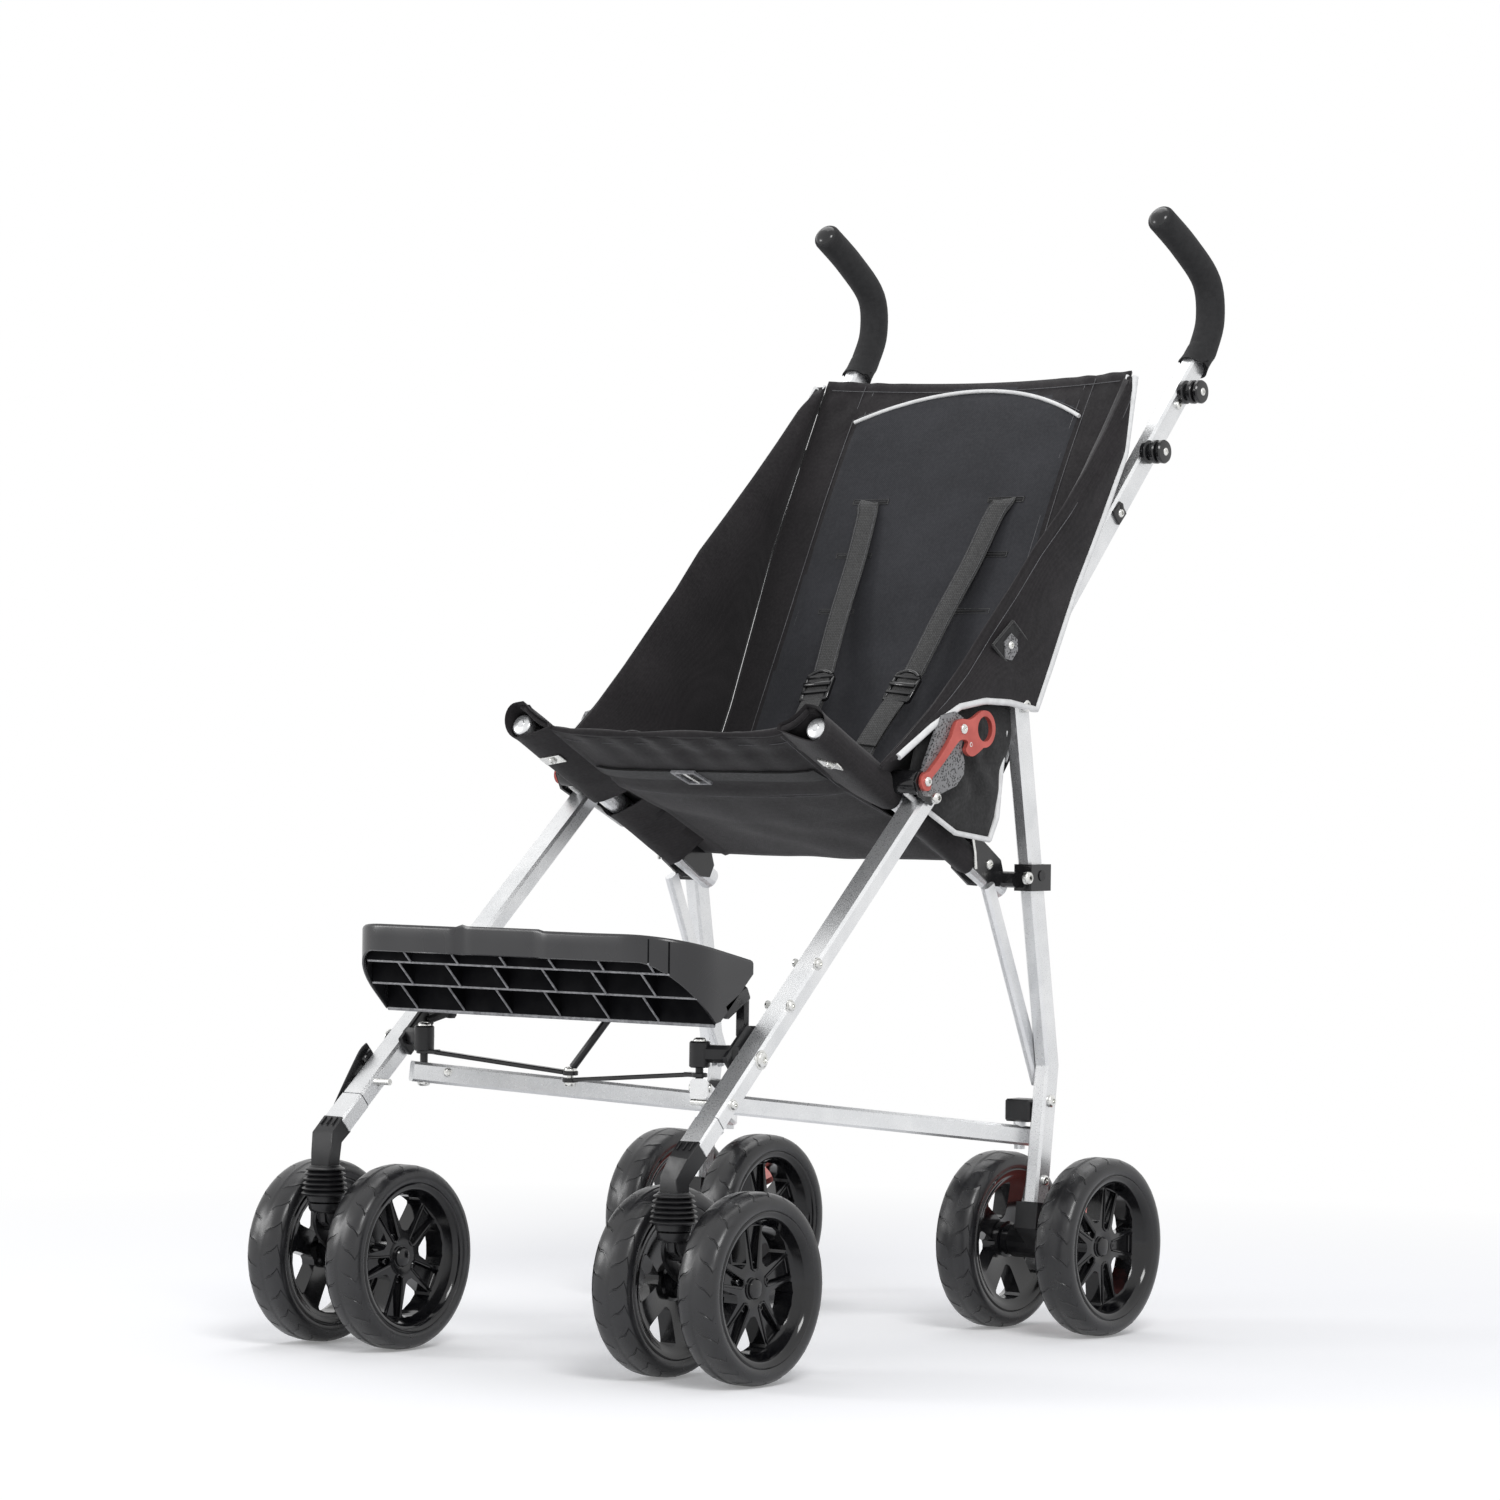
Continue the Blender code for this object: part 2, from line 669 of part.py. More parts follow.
def hinge_parts(side, s):
    low = s * HINGE_PLATE_X
    high = s * (HINGE_PLATE_X + HINGE_PLATE_THICK)
    outline = [
        (-0.071, 0.538),
        (-0.063, 0.5275),
        (-0.047, 0.5260),
        (-0.030, 0.5305),
        (-0.008, 0.5370),
        (0.004, 0.5480),
        (0.005, 0.5600),
        (-0.001, 0.5740),
        (0.006, 0.5900),
        (0.003, 0.6020),
        (-0.012, 0.6080),
        (-0.030, 0.6040),
        (-0.044, 0.5850),
        (-0.058, 0.5610),
    ]
    plate = finish_object("hinge_plate_" + side, prism(outline, min(low, high), max(low, high)), "plate")
    # a boss leads inward to a bar that lies on the handle tube's foot
    end_y, end_z = on_line(HANDLE_FOOT, HANDLE_KNEE, 0.10)
    bar_inner = handle_x(end_z) + HANDLE_WIDTH / 2 + GAP
    bar_outer = bar_inner + 0.005
    boss_outer = HINGE_PLATE_X + HINGE_PLATE_THICK / 2
    barrel = rod((s * bar_inner, *HINGE_LOBE), (s * boss_outer, *HINGE_LOBE), 0.0085)
    boss = finish_object("boss", barrel, "plate")
    bar = finish_object(
        "bar",
        prism(
            capsule(HINGE_LOBE, (end_y, end_z), 0.0095, 0.0105, 6),
            min(s * bar_inner, s * bar_outer),
            max(s * bar_inner, s * bar_outer),
        ),
        "plate",
    )
    combine(plate, [boss, bar])

    inner = s * LATCH_X
    outer = s * (LATCH_X + LATCH_THICK)
    pivot = (inner, *LATCH_PIVOT)
    low = min(inner, outer)
    high = max(inner, outer)
    arm = capsule(LATCH_PIVOT, LATCH_RING, 0.0085, LATCH_ARM_WIDTH / 2, 6)
    lever = finish_object("latch_lever_" + side, prism(arm, low, high), "red", origin=pivot)
    ring_solid = finish_object(
        "ring",
        turned(
            [(0, 0), (LATCH_RING_OUTER, 0), (LATCH_RING_OUTER, LATCH_THICK), (0, LATCH_THICK)],
            (low, *LATCH_RING),
            (1, 0, 0),
            20,
        ),
        "red",
    )
    combine(lever, [ring_solid])
    through = rod((low - 0.01, *LATCH_RING), (high + 0.01, *LATCH_RING), LATCH_RING_INNER, 16)
    hole = finish_object("hole", through, "red")
    combine(lever, [hole], "DIFFERENCE")


def brace_parts():
    """Two bars that cross as a flat X; the left one dips to pass under the other."""
    for side, s, dip in (("right", -1, 0.0), ("left", 1, JOGGLE_DEPTH)):
        front = Vector((s * BRACE_FRONT[0], BRACE_FRONT[1], BRACE_FRONT_Z))
        rear = Vector((-s * BRACE_REAR[0], BRACE_REAR[1], BRACE_REAR_Z))
        along = (rear - front).normalized()
        level = Vector((along.x, along.y, 0)).normalized()
        start = front - along * BRACE_OVERHANG
        end = rear + along * BRACE_OVERHANG
        side_dir = Vector((-level.y, level.x, 0))
        up_dir = side_dir.cross(along)
        if up_dir.z < 0:
            up_dir = -up_dir
        path = [start]
        if dip:
            fall = Vector((0, 0, dip))
            for reach, lowered in (
                (JOGGLE_START, 0.0),
                (JOGGLE_START + JOGGLE_SLOPE, 1.0),
                (JOGGLE_START + JOGGLE_LENGTH - JOGGLE_SLOPE, 1.0),
                (JOGGLE_START + JOGGLE_LENGTH, 0.0),
            ):
                path.append(front + along * reach - fall * lowered)
        path.append(end)
        bm = bmesh.new()
        rings = []
        for point in path:
            ring = []
            for a, b in box_section(BRACE_WIDTH, BRACE_HEIGHT):
                ring.append(bm.verts.new(point + side_dir * a + up_dir * b))
            rings.append(ring)
        count = len(rings[0])
        for low, high in zip(rings, rings[1:]):
            for k in range(count):
                m = (k + 1) % count
                bm.faces.new((low[k], low[m], high[m], high[k]))
        bm.faces.new(rings[0])
        bm.faces.new(rings[-1])
        bar = finish_object("brace_" + side, bm, "tube", origin=tuple(front))
        hole = finish_object(
            "hole",
            rod(front + Vector((0, 0, -0.03)), front + Vector((0, 0, 0.03)), LUG_HOLE_RADIUS, 16),
            "tube",
        )
        combine(bar, [hole], "DIFFERENCE")
        # the rear bolt stays with the bar and ends just under the lug
        lug_low = BRACE_REAR_Z + BRACE_HEIGHT / 2 + 0.0045
        cap = finish_object(
            "cap",
            rod(rear + Vector((0, 0, 0)), (rear.x, rear.y, lug_low - GAP), REAR_BOLT_RADIUS, 14),
            "black",
        )
        head = finish_object(
            "head",
            rod((rear.x, rear.y, rear.z - BRACE_HEIGHT / 2 - 0.004), (rear.x, rear.y, rear.z), 0.0055, 14),
            "black",
        )
        combine(bar, [cap, head])


def front_lug_parts():
    for side, s in SIDES:
        px, py = BRACE_FRONT
        inner_face = leg_x(0.292) - LEG_WIDTH / 2 - 0.0012

        def block(x0, x1, y0, y1, z0, z1, name="block"):
            return finish_object(
                name, brick((min(s * x0, s * x1), y0, z0), (max(s * x0, s * x1), y1, z1)), "black"
            )

        name = "front_lug_" + side
        lug = block(px - 0.012, inner_face, py - 0.013, py + 0.034, LUG_BOTTOM_Z, LUG_TOP_Z, name)
        arm_face = leg_x(0.345) - LEG_WIDTH / 2 - GAP
        arm = block(arm_face - 0.026, arm_face, ARM_FRONT, ARM_BACK, LUG_BOTTOM_Z, 0.353)
        back = ARM_BACK - 0.004
        bridge = block(arm_face - 0.014, arm_face - 0.003, py + 0.030, back, LUG_BOTTOM_Z, LUG_TOP_Z)
        pin_end = BRACE_FRONT_Z - BRACE_HEIGHT / 2 - 0.0035
        above = (s * px, py, LUG_BOTTOM_Z + 0.004)
        below = (s * px, py, pin_end - 0.004)
        pin = finish_object("pin", rod(above, below, LUG_PIN_RADIUS, 12), "black")
        head = finish_object("head", rod((s * px, py, pin_end), below, 0.007, 14), "black")
        combine(lug, [arm, bridge, pin, head])
        if s < 0:
            tx, tz = TRAY_PIN
            bore = TRAY_PIN_RADIUS + 2 * GAP
            through = rod((tx, ARM_FRONT - 0.01, tz), (tx, ARM_BACK + 0.01, tz), bore, 16)
            hole = finish_object("hole", through, "black")
            combine(lug, [hole], "DIFFERENCE")


def link_parts():
    """Two flat links across the front, which lie end over end at the middle."""
    for side, s, drop in (("right", -1, 0.0), ("left", 1, LINK_STACK)):
        top = LINK_FRONT_Z + LINK_THICK / 2 - drop
        start = Vector((s * BRACE_FRONT[0], BRACE_FRONT[1], top - LINK_THICK / 2))
        end = Vector((0.0, LINK_CENTRE_Y, top - LINK_THICK / 2 - LINK_DROP))
        level = Vector((end.x - start.x, end.y - start.y, 0)).normalized()
        side_dir = Vector((-level.y, level.x, 0))
        bm = bmesh.new()
        length = math.dist((start.x, start.y), (end.x, end.y))
        outline = capsule((0, 0), (length, 0), LINK_WIDTH / 2, LINK_WIDTH / 2, 6)
        rings = []
        for lift in (LINK_THICK / 2, -LINK_THICK / 2):
            ring = []
            for u, v in outline:
                share = min(max((u - 0.012) / (length - 0.024), 0.0), 1.0)
                z = mix(start.z, end.z, share) + lift
                flat = start + level * u + side_dir * v
                ring.append(bm.verts.new((flat.x, flat.y, z)))
            rings.append(ring)
        count = len(outline)
        for k in range(count):
            m = (k + 1) % count
            bm.faces.new((rings[0][k], rings[0][m], rings[1][m], rings[1][k]))
        # the plate is split at its two knees so that its faces stay flat
        bm.faces.new(rings[0])
        bm.faces.new(list(reversed(rings[1])))
        bmesh.ops.triangulate(bm, faces=bm.faces)
        link = finish_object("spreader_link_" + side, bm, "black", origin=tuple(start))
        half = Vector((0, 0, 0.02))
        hole = finish_object("hole", rod(start - half, start + half, LUG_HOLE_RADIUS, 14), "black")
        combine(link, [hole], "DIFFERENCE")


def tyre_mesh():
    w = TYRE_WIDTH / 2
    r = WHEEL_RADIUS
    profile = [
        (TYRE_INNER_RADIUS, -RIM_WIDTH / 2 - 0.001),
        (TYRE_INNER_RADIUS + 0.010, -w),
        (r - 0.006, -TYRE_SHOULDER),
        (r, -w * 0.42),
        (r, w * 0.42),
        (r - 0.006, TYRE_SHOULDER),
        (TYRE_INNER_RADIUS + 0.010, w),
        (TYRE_INNER_RADIUS, RIM_WIDTH / 2 + 0.001),
    ]
    made = finish_object("tyre_source", ring_turned(profile, (0, 0, 0), (1, 0, 0), 28), "tyre", smooth=40)
    mesh = made.data
    bpy.data.objects.remove(made, do_unlink=True)
    return mesh


def rim_mesh():
    """Rim with five windows; its outer face looks along +X."""
    half = RIM_WIDTH / 2
    profile = [
        (0, HUB_FACE),
        (HUB_RADIUS, HUB_FACE - 0.002),
        (HUB_RADIUS + 0.004, -0.001),
        (0.054, -0.001),
        (RIM_RADIUS, half),
        (RIM_RADIUS, -half),
        (0.054, -0.001 - WEB_THICK),
        (HUB_RADIUS + 0.001, -0.001 - WEB_THICK),
        (HUB_RADIUS - 0.001, -HUB_INNER_END),
        (BORE_RADIUS, -HUB_INNER_END),
        (BORE_RADIUS, -HUB_INNER_END + BORE_DEPTH),
        (0, -HUB_INNER_END + BORE_DEPTH),
    ]
    rim = finish_object("rim_source", turned(profile, (0, 0, 0), (1, 0, 0), 20), "rim", smooth=40)
    cutters = []
    for k in range(SPOKES):
        turn = 2 * math.pi * (k + 0.5) / SPOKES
        outline = []
        for radius, angle in (
            (WINDOW_INNER, -0.20),
            (WINDOW_INNER, 0.20),
            (WINDOW_OUTER - 0.004, 0.36),
            (WINDOW_OUTER, 0.24),
            (WINDOW_OUTER, -0.24),
            (WINDOW_OUTER - 0.004, -0.36),
        ):
            outline.append((radius * math.cos(turn + angle), radius * math.sin(turn + angle)))
        cutters.append(finish_object("window", prism(outline, -0.03, 0.03), "rim"))
    combine(rim, cutters, "DIFFERENCE")
    mesh = rim.data
    mesh.shade_smooth()
    mesh.set_sharp_from_angle(angle=math.radians(35))
    bpy.data.objects.remove(rim, do_unlink=True)
    return mesh


def wheel_parts():
    rim = rim_mesh()
    tyre = tyre_mesh()
    for side, s in SIDES:
        for unit, centre_x, axle_y, twin in (
            ("front", CASTER_AXIS_X, FRONT_AXLE_Y, FRONT_TWIN),
            ("rear", REAR_UNIT_X, REAR_AXLE_Y, REAR_TWIN),
        ):
            for place, out in (("outer", 1), ("inner", -1)):
                x = s * (centre_x + out * twin)
                facing = 0.0 if s * out > 0 else math.pi
                for piece, mesh in (("rim", rim), ("tyre", tyre)):
                    name = piece + "_" + unit + "_" + place + "_" + side
                    made = bpy.data.objects.new(name, mesh)
                    made.location = (x, axle_y, WHEEL_RADIUS)
                    made.rotation_euler = (0, 0, facing)
                    bpy.context.scene.collection.objects.link(made)


def caster_parts():
    for side, s in SIDES:
        x = s * CASTER_AXIS_X
        axis = (x, CASTER_AXIS_Y)
        # boot: a ribbed sleeve under an elbow that holds the leg's foot
        profile = [(0, BOOT_BOTTOM)]
        step = (BOOT_TOP - BOOT_BOTTOM) / (2 * BOOT_RIBS)
        for k in range(2 * BOOT_RIBS + 1):
            radius = BOOT_RADIUS - (BOOT_GROOVE if k % 2 == 0 else 0.0)
            profile.append((radius, BOOT_BOTTOM + k * step))
        neck = BOOT_RADIUS * 0.76
        profile += [(neck, BOOT_TOP + 0.002), (neck, ELBOW_TOP - 0.004)]
        profile += [(neck - 0.004, ELBOW_TOP), (0, ELBOW_TOP)]
        shape = turned(profile, (*axis, 0), (0, 0, 1), 20)
        boot = finish_object("caster_socket_" + side, shape, "black", smooth=30)
        foot = Vector((s * leg_x(LEG_FOOT[1]), *LEG_FOOT))
        along = (foot - Vector((s * leg_x(LEG_TOP[1]), *LEG_TOP))).normalized()
        end_y = CASTER_AXIS_Y + 0.004
        end = Vector((x, end_y, LEG_FOOT[1] + along.z / along.y * (end_y - LEG_FOOT[0]) - 0.002))
        arm = finish_object(
            "arm",
            sweep(
                [tuple(foot + along * GAP), tuple(foot + along * 0.006), tuple(end)],
                box_section(LEG_WIDTH + 0.004, LEG_DEPTH + 0.004, 0.004),
            ),
            "black",
        )
        combine(boot, [arm])

        axle = Vector((x, FRONT_AXLE_Y, WHEEL_RADIUS))
        head = [(0, 0.118), (0.016, 0.118), (0.0195, 0.128), (0.0195, FORK_HEAD_TOP), (0, FORK_HEAD_TOP)]
        shape = turned(head, (*axis, 0), (0, 0, 1), 18)
        origin = (*axis, FORK_HEAD_TOP)
        fork = finish_object("caster_fork_" + side, shape, "black", origin=origin, smooth=30)
        arm_outline = [
            (CASTER_AXIS_Y - 0.016, 0.134),
            (CASTER_AXIS_Y - 0.013, 0.112),
            (FRONT_AXLE_Y - 0.012, WHEEL_RADIUS - 0.012),
            (FRONT_AXLE_Y + 0.012, WHEEL_RADIUS + 0.006),
            (CASTER_AXIS_Y + 0.030, 0.122),
            (CASTER_AXIS_Y + 0.016, 0.138),
        ]
        arm = finish_object("arm", prism(arm_outline, x - 0.0135, x + 0.0135), "black")
        reach = Vector((FRONT_TWIN - HUB_INNER_END - GAP, 0, 0))
        hub = finish_object("hub", rod(axle - reach, axle + reach, FORK_HUB_RADIUS, 16), "black")
        reach = Vector((FRONT_TWIN - HUB_INNER_END + BORE_DEPTH - 2 * GAP, 0, 0))
        shaft = finish_object("shaft", rod(axle - reach, axle + reach, AXLE_RADIUS, 12), "black")
        combine(fork, [arm, hub, shaft])


def tray_plan(right, left, front, back, corner, steps=5):
    """Plan outline of the tray, as (x, y) points with two rounded front corners."""
    points = [(left, back)]
    for k in range(steps + 1):
        angle = math.pi / 2 * k / steps
        points.append((left - corner + corner * math.cos(angle), front + corner - corner * math.sin(angle)))
    for k in range(steps + 1):
        angle = math.pi / 2 * (1 - k / steps)
        points.append((right + corner - corner * math.cos(angle), front + corner - corner * math.sin(angle)))
    points.append((right, back))
    return points


def upright(outline, low, high):
    """Extrude an (x, y) outline between two heights."""
    bm = bmesh.new()
    lower = [bm.verts.new((x, y, low)) for x, y in outline]
    upper = [bm.verts.new((x, y, high)) for x, y in outline]
    count = len(outline)
    for k in range(count):
        m = (k + 1) % count
        bm.faces.new((lower[k], lower[m], upper[m], upper[k]))
    bm.faces.new(list(reversed(lower)))
    bm.faces.new(upper)
    return bm


def tray_ceiling(y):
    """Height of the underside of the tray's top plate."""
    share = (y - TRAY_FRONT[0]) / (TRAY_BACK[0] - TRAY_FRONT[0])
    return mix(TRAY_FRONT[1], TRAY_BACK[1], share) - TRAY_WALL


def footrest_parts():
    """One moulded tray, open below, with ribs, a pin at its right end and a foot at its left."""
    profile = [TRAY_FRONT, TRAY_BACK, TRAY_HEEL, TRAY_RIM_BACK, TRAY_SKIRT_FOOT]
    pin_x, pin_z = TRAY_PIN
    axis_point = (pin_x, TRAY_BACK[0], pin_z)
    shape = prism(profile, TRAY_RIGHT_END, TRAY_LEFT_END)
    tray = finish_object("footrest", shape, "black", origin=axis_point)
    below = TRAY_RIM_BACK[1] - 0.040
    above = TRAY_FRONT[1] + 0.040
    beyond = TRAY_BACK[0] + 0.010
    plan = tray_plan(TRAY_RIGHT_END, TRAY_LEFT_END, TRAY_SKIRT_FOOT[0] - 0.0005, beyond, TRAY_CORNER)
    combine(tray, [finish_object("plan", upright(plan, below, above), "black")], "INTERSECT")

    # two bays are hollowed from below, in front of and behind the rear wall
    wall_y = TRAY_RIM_BACK[0]
    inside_front = TRAY_FRONT[0] + TRAY_WALL
    behind = wall_y + TRAY_WALL
    right = TRAY_RIGHT_END + TRAY_WALL
    left = TRAY_LEFT_END - TRAY_WALL
    bays = []
    for start, end in ((inside_front, wall_y), (behind, beyond)):
        side = [(start, below), (start, tray_ceiling(start)), (end, tray_ceiling(end)), (end, below)]
        bays.append(finish_object("bay", prism(side, right, left), "black"))
    inner_plan = tray_plan(right, left, TRAY_SKIRT_FOOT[0] + TRAY_WALL, beyond, TRAY_CORNER - TRAY_WALL)
    combine(bays[0], [finish_object("plan", upright(inner_plan, below, above), "black")], "INTERSECT")
    combine(tray, bays, "DIFFERENCE")

    # ribs stop a little short of the rim
    def rim(y):
        share = (y - TRAY_SKIRT_FOOT[0]) / (TRAY_RIM_BACK[0] - TRAY_SKIRT_FOOT[0])
        return mix(TRAY_SKIRT_FOOT[1], TRAY_RIM_BACK[1], share) + 0.002

    pieces = []
    front = inside_front - 0.002
    back = wall_y + 0.001
    for k in range(1, TRAY_BAYS):
        x0 = mix(right, left, k / TRAY_BAYS)
        side = [(front, tray_ceiling(front) + 0.001), (back, tray_ceiling(back) + 0.001)]
        side += [(back, rim(back)), (front, rim(front))]
        pieces.append(finish_object("rib", prism(side, x0, x0 + TRAY_RIB), "black"))
    middle = (front + back) / 2
    long_rib = [
        (middle, tray_ceiling(middle) + 0.001),
        (middle + TRAY_RIB, tray_ceiling(middle + TRAY_RIB) + 0.001),
        (middle + TRAY_RIB, rim(middle)),
        (middle, rim(middle)),
    ]
    pieces.append(finish_object("rib", prism(long_rib, right - 0.001, left + 0.001), "black"))
    pin = rod((pin_x, behind - 0.001, pin_z), (pin_x, TRAY_PIN_BACK, pin_z), TRAY_PIN_RADIUS, 14)
    pieces.append(finish_object("pin", pin, "black"))
    # the foot rests on the left lug
    foot_x = -pin_x - 0.006
    low = (foot_x - 0.012, behind - 0.001, LUG_TOP_Z + GAP)
    high = (foot_x + 0.002, behind + 0.021, TRAY_RIM_BACK[1] + 0.012)
    pieces.append(finish_object("foot", brick(low, high), "black"))
    combine(tray, pieces)

    # a round stay hangs from the tray's ceiling and reaches down to the spreader's joint
    stay_x, stay_y = STAY_TOP
    link_top = LINK_FRONT_Z + LINK_THICK / 2 - LINK_DROP
    path = [
        (stay_x, stay_y, tray_ceiling(stay_y) - 0.0012),
        (stay_x, stay_y, TRAY_RIM_BACK[1] + 0.0115),
        (0.002, LINK_CENTRE_Y + 0.001, link_top + STAY_RADIUS + GAP),
    ]
    stay = sweep(path, round_section(STAY_RADIUS, 10))
    finish_object("footrest_stay", stay, "black", origin=(pin_x, TRAY_BACK[0], pin_z), smooth=50)


def back_crown(z, u):
    """How far the backrest sags behind its plane, at a height and a share u of its half width."""
    share = min(max((z - BACK_SAG_START) / (BACK_TOP_Z - BACK_SAG_START), 0.0), 1.0)
    return (1 - u * u) * mix(BACK_FLAT_SAG, BACK_SAG, share * share)


def half_width_back(z):
    """Half the backrest's width, which just clears the handle tubes where it passes them."""
    cross_z = 0.78
    side_gap = HANDLE_WIDTH / 2 + 0.0020
    low = HANDLE_X_LOW - side_gap
    crossing = handle_x(cross_z) - side_gap
    if z < HANDLE_KNEE[1]:
        share = min(max((z - BACK_WAIST[0]) / (BACK_WAIST[1] - BACK_WAIST[0]), 0.0), 1.0)
        return mix(RAIL_X - RAIL_RADIUS - BACK_RAIL_GAP, low, share)
    if z < cross_z:
        return mix(low, crossing, (z - HANDLE_KNEE[1]) / (cross_z - HANDLE_KNEE[1]))
    return mix(crossing, BACK_TOP_HALF, (z - cross_z) / (BACK_TOP_Z - cross_z))


def seat_height(x, y):
    """Mid height of the seat, which lies on the rails' tops and sags between them."""
    slope = (RAIL_REAR[1] - RAIL_FRONT[1]) / (RAIL_REAR[0] - RAIL_FRONT[0])
    lift = (RAIL_RADIUS + GAP + SEAT_THICK / 2) * math.hypot(1.0, slope)
    sag = mix(SEAT_FRONT_SAG, SEAT_REAR_SAG, (y - SEAT_FRONT_Y) / (SEAT_REAR_Y - SEAT_FRONT_Y))
    u = min(abs(x) / (RAIL_X - SEAT_ROLL), 1.0)
    return rail_z(y) + lift - (1 - u * u) * sag


def back_foot_z(u):
    """Height where the backrest's foot stands on the seat."""
    z = BACK_WAIST[0]
    for _ in range(6):
        z = seat_height(u * half_width_back(z), back_y(z)) + BACK_THICK / 2 + GAP
    return z


def fabric_parts():
    rows = 11
    cols = 13
    grid = []
    for i in range(rows):
        line = []
        for j in range(cols):
            u = mix(-1.0, 1.0, j / (cols - 1))
            z = mix(back_foot_z(u), BACK_TOP_Z, i / (rows - 1))
            half = half_width_back(z)
            crown = back_crown(z, u)
            line.append((u * half, back_y(z) + crown, z - crown * 0.3))
        grid.append(line)
    finish_object("backrest", sheet_solid(grid, BACK_THICK), "fabric", smooth=60)

    rows = 9
    grid = []
    level = RAIL_X - SEAT_ROLL
    stations = [-RAIL_X] + [mix(-level, level, j / (cols - 1)) for j in range(cols)] + [RAIL_X]
    for i in range(rows):
        y = mix(SEAT_FRONT_Y, SEAT_REAR_Y, i / (rows - 1))
        grid.append([(x, y, seat_height(x, y)) for x in stations])
    finish_object("seat_sling", sheet_solid(grid, SEAT_THICK), "fabric", smooth=60)

    # the panel's front edge runs from the backrest's corner down to the seat, and its other edge
    # follows the handle tube and then arches over the hinge, as (x, y, z) points of the left side
    front_edge = [(0.1975, 0.308, 0.934), (0.2040, 0.268, 0.890), (0.2070, 0.229, 0.850)]
    front_edge += [(0.2085, 0.186, 0.810), (0.2080, 0.139, 0.770), (0.2070, 0.100, 0.730)]
    front_edge += [(0.2065, 0.057, 0.690), (0.2065, 0.015, 0.650), (0.2050, -0.029, 0.612)]
    front_edge += [(0.2050, -0.104, 0.556)]
    rear_edge = [(0.2000, 0.318, 0.936), (0.2130, 0.290, 0.868), (0.2150, 0.247, 0.802)]
    rear_edge += [(0.2165, 0.196, 0.731), (0.2180, 0.153, 0.657), (0.2182, 0.125, 0.609)]
    rear_edge += [(0.2180, 0.080, 0.6165), (0.2170, 0.039, 0.618)]
    rear_edge += [(0.2115, 0.001, 0.6125), (0.2090, -0.041, 0.593), (0.2060, -0.088, 0.567)]
    rows = 15
    cols = 5
    for side, s in SIDES:
        grid = []
        for i in range(rows):
            a = follow(front_edge, i / (rows - 1))
            b = follow(rear_edge, i / (rows - 1))
            line = []
            for j in range(cols):
                v = j / (cols - 1)
                x, y, z = on_line(a, b, v)
                fullness = math.sin(math.pi * v) * min(1.0, 3.0 * (1 - i / (rows - 1)))
                ripple = PANEL_RIPPLE * math.cos(9.0 * math.pi * i / (rows - 1))
                line.append((s * (x + (PANEL_BULGE + ripple) * fullness), y, z))
            grid.append(line)
        finish_object("side_panel_" + side, sheet_solid(grid, PANEL_THICK), "fabric", smooth=60)

        # shoulder strap, from its slot down to the lap
        stand_off = (BACK_THICK / 2 + STRAP_THICK / 2 + GAP / 2) / math.cos(math.atan(BACK_LEAN))
        top_y = back_y(0.821) + back_crown(0.821, 0.080 / half_width_back(0.821)) - stand_off
        path = smooth_path(
            [
                (s * 0.080, top_y, 0.821),
                (s * 0.071, top_y - 0.044, 0.755),
                (s * 0.058, 0.160, 0.662),
                (s * 0.052, 0.138, 0.628),
                (s * 0.041, 0.078, 0.556),
                (s * STRAP_END[0], STRAP_END[1], seat_height(*STRAP_END) + SEAT_THICK / 2 + STRAP_END_GAP),
            ],
            3,
        )
        strap = sweep(path, box_section(STRAP_WIDTH, STRAP_THICK, 0.0005))
        finish_object("harness_strap_" + side, strap, "strap", smooth=60)


def build():
    clear_scene()
    for side, s in SIDES:
        handle_parts(side, s)
        bobbin_parts(side, s)
        leg_parts(side, s)
        rail_parts(side, s)
        rear_leg_parts(side, s)
        hinge_parts(side, s)
    brace_parts()
    front_lug_parts()
    link_parts()
    wheel_parts()
    caster_parts()
    footrest_parts()
    fabric_parts()


build()
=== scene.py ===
"""Looks of the special needs stroller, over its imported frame. +Z up, it faces -Y.

Camera, lamps and materials are in metres. The shapes are worked out in millimetres,
and Shape.object writes them in metres.
"""
from math import acos, cos, dist, exp, hypot, pi, radians, sin

import bmesh
import bpy
import numpy as np
from mathutils import Matrix, Vector, noise


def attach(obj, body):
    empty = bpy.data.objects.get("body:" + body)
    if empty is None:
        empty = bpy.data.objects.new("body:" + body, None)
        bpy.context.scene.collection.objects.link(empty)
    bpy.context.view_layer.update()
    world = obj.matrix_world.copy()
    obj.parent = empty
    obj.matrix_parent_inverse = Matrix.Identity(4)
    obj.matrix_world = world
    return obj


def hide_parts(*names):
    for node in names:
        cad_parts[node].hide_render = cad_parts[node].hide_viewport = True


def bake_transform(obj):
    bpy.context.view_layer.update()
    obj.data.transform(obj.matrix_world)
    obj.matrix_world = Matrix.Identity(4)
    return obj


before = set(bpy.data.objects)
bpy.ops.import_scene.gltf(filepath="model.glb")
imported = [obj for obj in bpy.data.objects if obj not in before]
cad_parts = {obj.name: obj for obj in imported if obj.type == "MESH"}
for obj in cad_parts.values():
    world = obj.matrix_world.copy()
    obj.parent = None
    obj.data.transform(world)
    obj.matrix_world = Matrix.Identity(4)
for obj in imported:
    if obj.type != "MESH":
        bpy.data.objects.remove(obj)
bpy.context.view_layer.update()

SIDES = (("left", 1), ("right", -1))
X, Z = (1, 0, 0), (0, 0, 1)


# ---------- camera, floor and light ----------
def in_scene(name, data):
    made = bpy.data.objects.new(name, data)
    bpy.context.scene.collection.objects.link(made)
    return made


